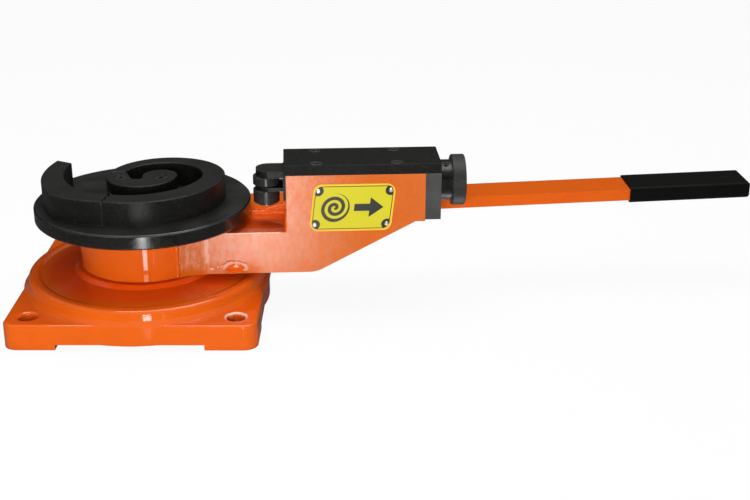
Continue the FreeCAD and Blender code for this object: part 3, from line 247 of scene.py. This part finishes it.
# Level faces carry a painted shade, and painted glint spots run along the arrises.
BASE_ENAMEL = orange_enamel("base enamel", peel=0.0016, swell=0.024, bump=0.0007, deep=(0.64, 0.096, 0.0042),
                            pale=(0.71, 0.116, 0.0057), level_painted_light=(0.70, 0.094, 0.0030), painted_glints=0.65)
paint_dish_shade(BASE_ENAMEL, DISH_RADIUS)
rub_hole_rim(BASE_ENAMEL, BOLT_REACH, -BOLT_REACH, radius=0.0104, width=0.0014)
finish(BASE_ENAMEL, "base_casting")


# ---------------------------------------------------------------- spindle and its fixings
# Turned steel post through the base, pulled down by a nut and washer underneath and keyed to the
# casting. The hub turns on it over a bronze thrust washer.

def hypotenuse(tree, across, along):
    """The long side of a right-angled triangle."""
    squares = [calc(tree, "POWER", side, 2.0) for side in (across, along)]
    return calc(tree, "SQRT", calc(tree, "ADD", *squares))


def ring_marks_group():
    """Fine concentric tool marks round the Z axis of the vector, as height and as tone."""
    group, start, end = new_group("ring marks", {"Vector": VECTOR, "Pitch": NUMBER},
                                  {"Height": NUMBER, "Tone": NUMBER})
    x, y, z = split(group, start.outputs["Vector"])
    along = add_node(group, "ShaderNodeCombineXYZ", {0: hypotenuse(group, x, y), 2: z}).outputs[0]
    marks_to_metre = calc(group, "DIVIDE", 1.0, start.outputs["Pitch"])
    feed(group, end, {
        "Height": noise(group, along, scale=marks_to_metre, detail=1.0),
        "Tone": noise(group, along, scale=90.0, detail=2.0)})
    return group


RING_MARKS = ring_marks_group()


def turned_metal(title, dark, light, roughness, centre=(0, 0, 0), turn=(0, 0, 0)):
    """Bare metal off the lathe, with its axis through centre and its marks running round."""
    mark_depth = 0.00004
    rubbed_bright = 0.4
    material, tree, shader = blank_material(title)
    placed = add_node(tree, "ShaderNodeMapping", {
        "Vector": object_space(tree), "Location": centre, "Rotation": turn}, vector_type="TEXTURE")
    marks = place_group(tree, RING_MARKS, {"Vector": placed.outputs[0], "Pitch": 0.0005})
    edge = place_group(tree, SOFT_EDGE, {"Radius": 0.0004})
    body = blend_colours(tree, marks.outputs["Tone"], dark, light)
    rubbed = calc(tree, "MULTIPLY", edge.outputs["Edge"], rubbed_bright)
    bright = [min(1.0, 1.5 * part) for part in light]
    feed(tree, shader, {
        "Base Color": blend_colours(tree, rubbed, body, bright),
        "Roughness": ramp(tree, marks.outputs["Tone"], low=0.3, high=0.7, at_low=roughness - 0.06,
                          at_high=roughness + 0.08),
        "Normal": relief(tree, mark_depth, marks.outputs["Height"], edge.outputs["Normal"], strength=0.5),
        "Metallic": 1.0})
    return material


BRONZE_DARK = (0.42, 0.24, 0.09)
BRONZE_LIGHT = (0.55, 0.34, 0.14)
finish(turned_metal("spindle steel", dark=(0.24, 0.245, 0.25), light=(0.34, 0.345, 0.35), roughness=0.32),
       "spindle", "spindle_washer", "spindle_nut", "spindle_key")
finish(turned_metal("bearing bronze", BRONZE_DARK, BRONZE_LIGHT, roughness=0.36), "thrust_washer", "hub_bush")


# ---------------------------------------------------------------- disk and scroll former
# Steel disk with the scroll in three pieces on top, all machined and then hot blacked. The heart
# is screwed down, and the middle and outer stretches lift off their dowels.

def wear_group():
    """Mask of rubbed arrises, with the cloud and the grain of a dark finish."""
    group, start, end = new_group(
        "handling wear", {"Vector": VECTOR, "Edge": NUMBER, "Amount": NUMBER},
        {"Wear": NUMBER, "Cloud": NUMBER, "Grain": NUMBER})
    where = start.outputs["Vector"]
    patchy = noise(group, where, scale=260.0, detail=4.0, roughness=0.7)
    rubbed = ramp(group, patchy, low=0.40, high=0.62, at_low=0.15)
    lines = calc(group, "MULTIPLY", start.outputs["Edge"], rubbed)
    feed(group, end, {
        "Wear": calc(group, "MULTIPLY", lines, start.outputs["Amount"]),
        "Cloud": noise(group, where, scale=34.0, detail=4.0),
        "Grain": noise(group, where, scale=1000.0, detail=2.0)})
    return group


WEAR = wear_group()


def blacked_steel(title, dark=(0.0035, 0.0033, 0.0027), light=(0.0080, 0.0076, 0.0066), roughness=0.38,
                  wear=0.5, grain=0.00010, arris=0.0007, shine=0.32):
    """Machined steel under a black oxide finish, greyer where its arrises are rubbed and in fine grey flecks
    that are partly bare metal and partly painted glint spots, and duller on top.
    """
    bare_grey = (0.17, 0.17, 0.172)
    material, tree, shader = blank_material(title)
    edge = place_group(tree, SOFT_EDGE, {"Radius": arris})
    worn = place_group(tree, WEAR, {
        "Vector": object_space(tree), "Edge": edge.outputs["Edge"], "Amount": wear})
    body = blend_colours(tree, worn.outputs["Cloud"], dark, light)
    # Fine grey flecks: partly bare metal, partly painted glint spots.
    specks_and_glints = ramp(tree, worn.outputs["Grain"], low=0.58, high=0.74, at_high=0.22)
    clouded = ramp(tree, worn.outputs["Cloud"], low=0.3, high=0.7, at_low=roughness - 0.07,
                   at_high=roughness + 0.07)
    dusty = ramp(tree, facing_up(tree), low=0.5, high=0.95, at_high=0.22)
    feed(tree, shader, {
        "Base Color": blend_colours(tree, calc(tree, "ADD", worn.outputs["Wear"], specks_and_glints), body, bare_grey),
        "Roughness": calc(tree, "ADD", clouded, dusty),
        "Normal": relief(tree, grain, worn.outputs["Grain"], edge.outputs["Normal"], strength=0.6),
        "Specular IOR Level": shine})
    return material


finish(blacked_steel("former black", wear=0.8), "center_former", "middle_former", "outer_former")
finish(blacked_steel("disk black", roughness=0.17, wear=0.95, grain=0.00007, arris=0.0009, shine=0.8),
       "former_disk")
SCREW_BLACK = blacked_steel("screw black", dark=(0.006, 0.006, 0.006), light=(0.016, 0.016, 0.016),
                            roughness=0.30, wear=0.8, grain=0.00005, arris=0.0003, shine=0.5)
finish(SCREW_BLACK, "former_screws")
BRIGHT_STEEL = turned_metal("bright steel", dark=(0.50, 0.50, 0.50), light=(0.66, 0.66, 0.65), roughness=0.26)
finish(BRIGHT_STEEL, "former_set_screw", "middle_former_dowels", "outer_former_dowels")


# ---------------------------------------------------------------- arm
# Steel hub with two cheeks, a deck and a bottom plate welded up into a hollow arm, sprayed with the same
# orange enamel as the base. The front of the arm is rougher, and carries a painted pale pink sheen in
# feathered patches.

ARM_ANGLE = math.radians(3.6)
ARM_TURN = Matrix.Rotation(ARM_ANGLE, 4, "Z")
ARM_ENAMEL = orange_enamel("arm enamel", peel=0.0017, swell=0.016, bump=0.0006)
finish(ARM_ENAMEL, "swing_hub", "rear_side_plate", "arm_bottom_plate", "arm_deck", "housing_web",
       "guide_floor")


def dry_enamel(title, arris):
    """The arm's enamel sprayed on half dry, with a coarse dull skin."""
    return orange_enamel(title, peel=0.0017, swell=0.011, bump=0.0013, arris=arris, coat_roughness=0.20,
                         deep=(0.57, 0.102, 0.0050), pale=(0.64, 0.134, 0.0090))


def paint_sheen_over(material, low, high, strongest_sheen):
    """Painted pale pink sheen in feathered patches on the enamel, rising from nothing at height low to its
    strongest at high, and fading out along the arm."""
    painted_sheen_pink = (0.66, 0.38, 0.27)
    sheen_end = 0.23
    sheen_full = 0.13
    straying = 0.012
    slant = math.radians(40)
    tree = material.node_tree
    where = object_space(tree)
    x, _, height = split(tree, where)
    slanted = add_node(tree, "ShaderNodeMapping", {
        "Vector": where, "Rotation": (0, slant, 0), "Scale": (1.0, 1.0, 0.5)}).outputs[0]
    feather = noise(tree, slanted, scale=210.0, detail=5.0, roughness=0.65)
    patches = ramp(tree, feather, low=0.40, high=0.64, at_low=0.15)
    ragged = calc(tree, "ADD", height, calc(tree, "MULTIPLY", feather, straying))
    rise = ramp(tree, ragged, low, high, at_high=strongest_sheen)
    fade = ramp(tree, x, sheen_end, sheen_full)
    # Painted sheen, pale pink, in feathered patches.
    painted_sheen = calc(tree, "MULTIPLY", calc(tree, "MULTIPLY", patches, rise), fade)
    paint_over(material, painted_sheen, painted_sheen_pink)


# The cheek and the blend carry the painted sheen.
CHEEK_ENAMEL = dry_enamel("cheek enamel", arris=0.0010)
paint_sheen_over(CHEEK_ENAMEL, low=0.050, high=0.070, strongest_sheen=0.40)
finish(CHEEK_ENAMEL, "front_side_plate")
BLEND_ENAMEL = dry_enamel("blend enamel", arris=0.00002)
paint_sheen_over(BLEND_ENAMEL, low=0.056, high=0.068, strongest_sheen=0.60)
finish(BLEND_ENAMEL, "front_hub_blend")


# ---------------------------------------------------------------- weld beads on the arm
# Hand-laid fillet and plug welds under the enamel: overlapping ripples along each seam, which hold the
# cheeks, deck, web and handle to the hub and to one another. Spatter lies beside the plug weld; the plug
# weld's crest and the spatter are painted pale as glint spots, and a thin bead along the edge of the deck is
# painted pale as a highlight.

WELD_ENAMEL = orange_enamel("weld enamel", peel=0.0012, swell=0.005, bump=0.0002, arris=0.0002,
                            coat_roughness=0.08)
# Pale colour painted as glint spots on the weld's crest and the spatter.
GLINT_PAINTED_ENAMEL = orange_enamel("glint painted enamel", peel=0.0010, swell=0.0030, bump=0.0004, arris=0.0002,
                               coat_roughness=0.06, deep=(0.66, 0.13, 0.016), pale=(0.95, 0.66, 0.54))
# Pale colour painted as a highlight on the bead along the deck's edge.
EDGE_HIGHLIGHT_ENAMEL = orange_enamel("edge highlight enamel", peel=0.0010, swell=0.0040, bump=0.0002, arris=0.0001,
                                coat_roughness=0.06, deep=(0.84, 0.36, 0.22), pale=(0.97, 0.80, 0.70))


def arm_box(name):
    """The low and the high corner of an arm piece, turned back to lie along +X."""
    places = [ARM_TURN.inverted() @ vertex.co for vertex in nodes[name].data.vertices]
    return [Vector([side(place[axis] for place in places) for axis in range(3)]) for side in (min, max)]


def seam(start, end, step):
    """Points from start to end at about the given step."""
    count = max(2, round((Vector(end) - Vector(start)).length / step))
    return [Vector(start).lerp(Vector(end), index / count) for index in range(count + 1)]


def oval(centre, across, up, first, last, count):
    """Points round an upright oval that faces the front, from one angle to another in degrees."""
    turns = [math.radians(first + (last - first) * index / count) for index in range(count)]
    return [Vector(centre) + Vector((across * math.cos(turn), 0, up * math.sin(turn))) for turn in turns]


def active():
    """The object that was added or chosen last."""
    return bpy.context.view_layer.objects.active


def settle(piece, title, body, material):
    """Turn a piece drawn with the arm along +X to the arm's rest, name it, finish it and let it ride."""
    piece.data.transform(ARM_TURN @ piece.matrix_world)
    piece.matrix_world = Matrix.Identity(4)
    piece.name = title
    coat(piece, material)
    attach(piece, body)
    piece.select_set(False)


def weld(title, places, size, seed, material=WELD_ENAMEL, unevenness=0.14):
    """One bead of overlapping ripples, each a ball drawn out to about the given size, riding on the arm."""
    bpy.ops.mesh.primitive_uv_sphere_add(segments=14, ring_count=8, radius=1.0)
    ripple = active()
    ripple.select_set(False)
    wobble = random.Random(seed)
    copies = []
    for place in places:
        piece = ripple.copy()
        piece.data = ripple.data.copy()
        bpy.context.collection.objects.link(piece)
        spread = Vector([axis * wobble.uniform(1 - unevenness, 1 + unevenness) for axis in size])
        piece.matrix_world = Matrix.Translation(place) @ Matrix.Diagonal((*spread, 1.0))
        copies.append(piece)
    bpy.data.objects.remove(ripple)
    for piece in copies:
        piece.select_set(True)
    bpy.context.view_layer.objects.active = copies[0]
    if len(copies) > 1:
        bpy.ops.object.join()
    bead = active()
    bpy.context.view_layer.update()
    bpy.ops.object.shade_smooth()
    settle(bead, title, "bending_arm", material)


CHEEK_FACE = arm_box("front_side_plate")[0].y
DECK_TOP = arm_box("arm_deck")[1].z
WEB_FACE = arm_box("housing_web")[0].x
BAR_FACE = arm_box("handle_bar")[0].y

HUB_CORNER = (0.0362, -0.0566)
weld("hub_seam_weld", seam((*HUB_CORNER, 0.0500), (*HUB_CORNER, 0.0885), step=0.0016),
     size=(0.0022, 0.0016, 0.0030), seed=1)

PLUG = (0.0935, CHEEK_FACE, 0.0535)
weld("plug_weld_crest", oval(PLUG, across=0.0112, up=0.0056, first=-25, last=190, count=19),
     size=(0.0024, 0.0019, 0.0022), seed=2, material=GLINT_PAINTED_ENAMEL, unevenness=0.35)
weld("plug_weld_foot", oval(PLUG, across=0.0110, up=0.0046, first=190, last=335, count=12),
     size=(0.0018, 0.0011, 0.0014), seed=8, unevenness=0.25)
weld("plug_weld_crown", [PLUG], size=(0.0095, 0.0010, 0.0042), seed=9)
scatter = random.Random(11)
weld("weld_spatter",
     [(scatter.uniform(0.0680, 0.0850), CHEEK_FACE, scatter.uniform(0.0505, 0.0560)) for _ in range(16)],
     size=(0.0010, 0.0008, 0.0010), seed=12, material=GLINT_PAINTED_ENAMEL, unevenness=0.5)

weld("bar_foot_weld", seam((0.1120, BAR_FACE - 0.0016, DECK_TOP + 0.0002),
                           (0.1450, BAR_FACE - 0.0032, DECK_TOP + 0.0022), step=0.0022),
     size=(0.0034, 0.0034, 0.0040), seed=5)
weld("bar_top_weld", seam((0.1270, BAR_FACE - 0.0016, DECK_TOP + 0.0032),
                          (0.1455, BAR_FACE - 0.0034, DECK_TOP + 0.0082), step=0.0022),
     size=(0.0034, 0.0030, 0.0040), seed=6)

DECK_EDGE = (CHEEK_FACE + 0.0003, DECK_TOP - 0.0002)
# A thin bead along the deck's front edge, painted pale as a highlight.
weld("deck_edge_highlight_bead", seam((0.0860, *DECK_EDGE), (0.1400, *DECK_EDGE), step=0.0009),
     size=(0.0011, 0.0009, 0.0008), seed=7, material=EDGE_HIGHLIGHT_ENAMEL)

weld("web_foot_weld", seam((WEB_FACE - 0.0006, -0.0380, DECK_TOP + 0.0003),
                           (WEB_FACE - 0.0006, 0.0010, DECK_TOP + 0.0003), step=0.0020),
     size=(0.0026, 0.0016, 0.0022), seed=3)
WEB_CORNER = (WEB_FACE - 0.0004, CHEEK_FACE + 0.0012)
weld("web_corner_weld",
     seam((*WEB_CORNER, DECK_TOP + 0.0012), (*WEB_CORNER, DECK_TOP + 0.0147), step=0.0016),
     size=(0.0014, 0.0014, 0.0014), seed=4)


# ---------------------------------------------------------------- housing lid and end plate
# Blacked flat lid on four countersunk screws, and a thick end plate of darkened flame-cut steel
# held by four cap screws, which carries the feed screw.

finish(blacked_steel("lid black", roughness=0.5, wear=0.45, grain=0.00015, shine=0.18), "cover_plate")
finish(SCREW_BLACK, "end_plate_screws")
finish(blacked_steel("lid screw black", dark=(0.004, 0.004, 0.004), light=(0.009, 0.009, 0.009),
                     roughness=0.20, wear=1.0, grain=0.00010, arris=0.0010, shine=1.0), "cover_screws")
finish(blacked_steel("end plate steel", dark=(0.010, 0.010, 0.010), light=(0.095, 0.095, 0.092),
                     roughness=0.5, wear=0.8, grain=0.00050, arris=0.0006, shine=0.4), "end_plate")


# ---------------------------------------------------------------- feed screw and hand knob
# Bright turned screw held endways by a collar inside the end plate and by the knob's boss outside
# it. The knob is blacked, and its boss is darker and polished.

KNOB_LOW, KNOB_HIGH = arm_box("hand_knob")
KNOB_MIDDLE = (KNOB_LOW + KNOB_HIGH) / 2
SCREW_CENTRE = ARM_TURN @ Vector((0, KNOB_MIDDLE.y, KNOB_MIDDLE.z))
ALONG_ARM = (0, math.radians(90), ARM_ANGLE)
SCREW_STEEL = turned_metal("screw steel", dark=(0.45, 0.45, 0.45), light=(0.62, 0.62, 0.61), roughness=0.28,
                           centre=SCREW_CENTRE, turn=ALONG_ARM)
finish(SCREW_STEEL, "feed_screw", "thrust_collar")
finish(SCREW_BLACK, "collar_set_screw", "knob_set_screw")


def polish_boss(material, boss_end):
    """Darken and polish the knob from its face at the end plate to the end of its boss."""
    polished_black = (0.004, 0.004, 0.004)
    smoothing = 0.30
    tree = material.node_tree
    shader = tree.nodes["Principled BSDF"]
    along = add_node(tree, "ShaderNodeVectorMath", {0: object_space(tree), 1: ARM_TURN @ Vector((1, 0, 0))},
                     operation="DOT_PRODUCT")
    boss = calc(tree, "LESS_THAN", along.outputs["Value"], boss_end)
    matt = shader.inputs["Roughness"].links[0].from_socket
    paint_over(material, boss, polished_black)
    feed(tree, shader, {"Roughness": calc(tree, "SUBTRACT", matt, calc(tree, "MULTIPLY", boss, smoothing))})


BOSS_LENGTH = 0.0121
KNOB_BLACK = blacked_steel("knob black", dark=(0.012, 0.014, 0.012), light=(0.026, 0.028, 0.025),
                           roughness=0.46, wear=0.6, grain=0.00030, arris=0.0008, shine=0.45)
polish_boss(KNOB_BLACK, KNOB_LOW.x + BOSS_LENGTH)
finish(KNOB_BLACK, "hand_knob")


# ---------------------------------------------------------------- slide and rollers
# Blacked slide with two lugs, and with a bronze nut for the feed screw at its rear end. Two hardened
# and blacked rollers turn on one bright pin, one between the lugs and one below them.

finish(blacked_steel("slide black", roughness=0.4, wear=0.6), "slide_block")
finish(blacked_steel("roller black", dark=(0.014, 0.014, 0.013), light=(0.028, 0.028, 0.027),
                     roughness=0.3, wear=0.7, grain=0.00006, arris=0.0006, shine=0.6),
       "upper_roller", "lower_roller")
finish(BRIGHT_STEEL, "roller_pin")
finish(turned_metal("nut bronze", BRONZE_DARK, BRONZE_LIGHT, roughness=0.36, centre=SCREW_CENTRE,
                    turn=ALONG_ARM), "feed_nut")


# ---------------------------------------------------------------- handle
# Flat steel bar welded to the hub and the rear cheek, enamelled like the arm, with a rubber sleeve
# dipped over its end.

# The handle's level faces are painted a lighter orange as painted light.
finish(orange_enamel("handle enamel", peel=0.0016, swell=0.03, bump=0.0004, level_painted_light=(0.80, 0.130, 0.0070)),
       "handle_bar")


def dipped_rubber(title):
    """Matt black rubber with a faint leathery skin."""
    deep_black = (0.0018, 0.0017, 0.0014)
    dusty_black = (0.0035, 0.0032, 0.0027)
    wrinkle_depth = 0.0005
    material, tree, shader = blank_material(title)
    edge = place_group(tree, SOFT_EDGE, {"Radius": 0.0015})
    skin = place_group(tree, CAST_SKIN, {
        "Vector": object_space(tree), "Peel Size": 0.0011, "Swell Size": 0.02})
    feed(tree, shader, {
        "Base Color": blend_colours(tree, skin.outputs["Tone"], deep_black, dusty_black),
        "Normal": relief(tree, wrinkle_depth, skin.outputs["Height"], edge.outputs["Normal"]),
        "Roughness": 0.55,
        "Specular IOR Level": 0.12})
    return material


finish(dipped_rubber("grip rubber"), "handle_grip")


# ---------------------------------------------------------------- nameplate
# Thin enamelled plate on four rivets: yellow face, amber border with a fine black line inside it,
# black corners behind the rivets, and a plain black mark of a scroll and an arrow.

def panel_group():
    """Mask of a rectangle with rounded corners, centred on the vector's X and Z."""
    group, start, end = new_group(
        "rounded panel", {"Vector": VECTOR, "Half Length": NUMBER, "Half Height": NUMBER, "Corner": NUMBER},
        {"Inside": NUMBER})
    corner = start.outputs["Corner"]
    x, _, z = split(group, start.outputs["Vector"])
    overs = []
    for place, half in ((x, "Half Length"), (z, "Half Height")):
        flat = calc(group, "SUBTRACT", start.outputs[half], corner)
        over = calc(group, "SUBTRACT", calc(group, "ABSOLUTE", place), flat)
        overs.append(calc(group, "MAXIMUM", over, 0.0))
    feed(group, end, {"Inside": calc(group, "LESS_THAN", hypotenuse(group, *overs), corner)})
    return group


def scroll_mark_group():
    """Mask of a plain mark: a scroll on the left with an arrow pointing away from it."""
    scroll_x = -0.0180
    scroll_radius = 0.0150
    scroll_pitch = 0.0066
    scroll_line = 0.0036
    shaft_start = 0.0015
    shaft_end = 0.0170
    shaft_half = 0.0038
    arrow_tip = 0.0310
    head_slope = 0.75
    group, start, end = new_group("scroll mark", {"X": NUMBER, "Z": NUMBER}, {"Ink": NUMBER})
    x = start.outputs["X"]
    z = start.outputs["Z"]
    from_scroll = calc(group, "SUBTRACT", x, scroll_x)
    reach = hypotenuse(group, from_scroll, z)
    wound = calc(group, "MULTIPLY", calc(group, "ARCTAN2", z, from_scroll), scroll_pitch / (2 * math.pi))
    turn = calc(group, "FLOORED_MODULO", calc(group, "SUBTRACT", reach, wound), scroll_pitch)
    on_line = calc(group, "LESS_THAN", turn, scroll_line)
    scroll = calc(group, "MULTIPLY", on_line, calc(group, "LESS_THAN", reach, scroll_radius))
    height = calc(group, "ABSOLUTE", z)
    along_shaft = calc(group, "MULTIPLY", calc(group, "GREATER_THAN", x, shaft_start),
                       calc(group, "LESS_THAN", x, shaft_end))
    shaft = calc(group, "MULTIPLY", along_shaft, calc(group, "LESS_THAN", height, shaft_half))
    head_half = calc(group, "MULTIPLY", calc(group, "SUBTRACT", arrow_tip, x), head_slope)
    head = calc(group, "MULTIPLY", calc(group, "GREATER_THAN", x, shaft_end),
                calc(group, "LESS_THAN", height, head_half))
    feed(group, end, {"Ink": calc(group, "MAXIMUM", scroll, calc(group, "MAXIMUM", shaft, head))})
    return group


PANEL = panel_group()
SCROLL_MARK = scroll_mark_group()


def plate_print(title):
    """The plate's three colours, printed square to its leaning outline."""
    amber = (0.79, 0.50, 0.012)
    yellow = (0.60, 0.54, 0.006)
    line_black = (0.012, 0.011, 0.009)
    mark_black = (0.014, 0.013, 0.011)
    lean = 0.0060 / 0.0496
    half_length = 0.0384
    half_height = 0.0220
    line_width = 0.0008
    outer_corner = 0.0068
    inner_corner = 0.0062
    rivet_x = 0.0363
    rivet_z = 0.0179
    patch_radius = 0.0054
    low, high = arm_box("nameplate")
    centre = ARM_TURN @ Vector(((low.x + high.x) / 2, low.y, (low.z + high.z) / 2))
    material, tree, shader = blank_material(title)
    turn = (0, 0, ARM_ANGLE)
    placed = add_node(tree, "ShaderNodeMapping", {
        "Vector": object_space(tree), "Location": centre, "Rotation": turn}, vector_type="TEXTURE")
    leaning_x, _, z = split(tree, placed.outputs[0])
    x = calc(tree, "SUBTRACT", leaning_x, calc(tree, "MULTIPLY", z, lean))
    square = add_node(tree, "ShaderNodeCombineXYZ", {0: x, 2: z}).outputs[0]
    line_outer = place_group(tree, PANEL, {
        "Vector": square, "Half Length": half_length + line_width, "Half Height": half_height + line_width,
        "Corner": outer_corner}).outputs["Inside"]
    line_inner = place_group(tree, PANEL, {
        "Vector": square, "Half Length": half_length, "Half Height": half_height,
        "Corner": inner_corner}).outputs["Inside"]
    bordered = blend_colours(tree, line_outer, amber, line_black)
    face = blend_colours(tree, line_inner, bordered, yellow)
    past_x = calc(tree, "SUBTRACT", calc(tree, "ABSOLUTE", x), rivet_x)
    past_z = calc(tree, "SUBTRACT", calc(tree, "ABSOLUTE", z), rivet_z)
    by_rivet = calc(tree, "LESS_THAN", hypotenuse(tree, past_x, past_z), patch_radius)
    outward = calc(tree, "MULTIPLY", calc(tree, "GREATER_THAN", past_x, 0.0),
                   calc(tree, "GREATER_THAN", past_z, 0.0))
    mark = place_group(tree, SCROLL_MARK, {"X": x, "Z": z}).outputs["Ink"]
    inked = calc(tree, "MAXIMUM", calc(tree, "MAXIMUM", by_rivet, outward), mark)
    printed = calc(tree, "MULTIPLY", inked, line_outer)
    feed(tree, shader, {
        "Base Color": blend_colours(tree, printed, face, mark_black),
        "Roughness": 0.32,
        "Coat Weight": 0.3})
    return material


finish(plate_print("plate print"), "nameplate")
finish(turned_metal("rivet aluminium", dark=(0.66, 0.66, 0.67), light=(0.78, 0.78, 0.79), roughness=0.3),
       "nameplate_rivets")


# ---------------------------------------------------------------- floor
# A plain white sweep that shows white to the camera but keeps the shadow. In gloss it glows a
# little and mirrors the lamps and the sky, so that the enamel's streaks stay narrow.

FLOOR_DROP = 0.0002
bpy.ops.mesh.primitive_circle_add(vertices=96, radius=9.0, fill_type="NGON", location=(0.3, 0, -FLOOR_DROP))
floor = active()
floor.name = "floor"


def sweep_white(title):
    """Matt white that glows for the camera and turns to a mirror in gloss."""
    matt_white = (0.86, 0.86, 0.86)
    mirror_white = (0.90, 0.90, 0.90)
    camera_veil = 0.93
    mirror_veil = 0.1
    material, tree, shader = blank_material(title)
    rays = add_node(tree, "ShaderNodeLightPath", {}).outputs
    mirrored = rays["Is Glossy Ray"]
    feed(tree, shader, {
        "Base Color": blend_colours(tree, mirrored, matt_white, mirror_white),
        "Roughness": ramp(tree, mirrored, low=0.0, high=1.0, at_low=0.9, at_high=0.1),
        "Metallic": mirrored,
        "Specular IOR Level": 0.0})
    seen = calc(tree, "MAXIMUM", rays["Is Camera Ray"], rays["Is Transmission Ray"])
    veil = calc(tree, "MAXIMUM", calc(tree, "MULTIPLY", seen, camera_veil),
                calc(tree, "MULTIPLY", mirrored, mirror_veil))
    brightness = ramp(tree, mirrored, low=0.0, high=1.0, at_low=1.0, at_high=0.6)
    glow = add_node(tree, "ShaderNodeEmission", {"Color": (1, 1, 1, 1), "Strength": brightness}).outputs[0]
    shown = add_node(tree, "ShaderNodeMixShader", {0: veil, 1: shader.outputs[0], 2: glow}).outputs[0]
    feed(tree, tree.nodes["Material Output"], {"Surface": shown})
    return material


floor.data.materials.append(sweep_white("white floor"))
floor.select_set(False)


# ---------------------------------------------------------------- lamps and sky
# Tall narrow strips in front for the streaks on the enamel, broad fills beside them, one big lamp
# overhead, and a white sky that is dark at the horizon and pale above.

def soft_lamp(title, place, aim, width, height, power, mirrored=True):
    """A rectangular soft lamp at place, facing aim; a fill lamp isn't mirrored in gloss."""
    bpy.ops.object.light_add(type="AREA", location=place)
    lamp = active()
    lamp.name = title
    lamp.data.shape = "RECTANGLE"
    lamp.data.size = width
    lamp.data.size_y = height
    lamp.data.energy = power
    lamp.rotation_euler = (Vector(aim) - Vector(place)).to_track_quat("-Z", "Y").to_euler()
    lamp.visible_camera = False
    lamp.visible_glossy = mirrored
    lamp.select_set(False)


soft_lamp("front strip", place=(0.16, -1.38, 0.29), aim=(0.14, 0, 0.06), width=0.17, height=0.42, power=2.9)
soft_lamp("right strip", place=(0.52, -1.35, 0.33), aim=(0.3, 0, 0.06), width=0.04, height=0.46, power=0.07)
soft_lamp("front fill", place=(0.05, -1.38, 0.34), aim=(0.1, 0, 0.06), width=0.5, height=0.5, power=11.0,
          mirrored=False)
soft_lamp("front left lamp", place=(-0.75, -1.40, 1.05), aim=(0.1, 0, 0.06), width=0.8, height=0.7, power=1.5,
          mirrored=False)
soft_lamp("overhead lamp", place=(0.2, 0.1, 1.7), aim=(0.2, 0, 0.05), width=1.4, height=1.0, power=19.0)

world = bpy.data.worlds.new("pale sky")
bpy.context.scene.world = world
world.use_nodes = True
sky = world.node_tree
generated = add_node(sky, "ShaderNodeTexCoord", {}).outputs["Generated"]
sky_light = ramp(sky, split(sky, generated)[2], low=0.42, high=0.85, at_low=0.01, at_high=0.55)
to_camera = add_node(sky, "ShaderNodeLightPath", {}).outputs["Is Camera Ray"]
strength = add_node(sky, "ShaderNodeMix", {"Factor": to_camera, 2: sky_light, 3: 1.0}, data_type="FLOAT")
feed(sky, sky.nodes["Background"], {"Color": (1, 1, 1, 1), "Strength": strength.outputs[0]})


# ---------------------------------------------------------------- camera
# Stands a good metre in front of the bender and half a metre up, level but for a trace of roll, and
# looks down on it through a long lens.

YAW = 0.0037
PITCH = 0.378
ROLL = 0.003
bpy.ops.object.camera_add(location=(0.2337, -1.2566, 0.5551))
camera = active()
camera.name = "camera"
look_down = Matrix.Rotation(math.pi / 2 - PITCH, 3, "X")
look = Matrix.Rotation(-YAW, 3, "Z") @ look_down @ Matrix.Rotation(ROLL, 3, "Z")
camera.rotation_euler = look.to_euler()
camera.data.sensor_width = 36.0
camera.data.lens = 62.1
bpy.context.scene.camera = camera
bpy.context.scene.view_settings.view_transform = "Standard"
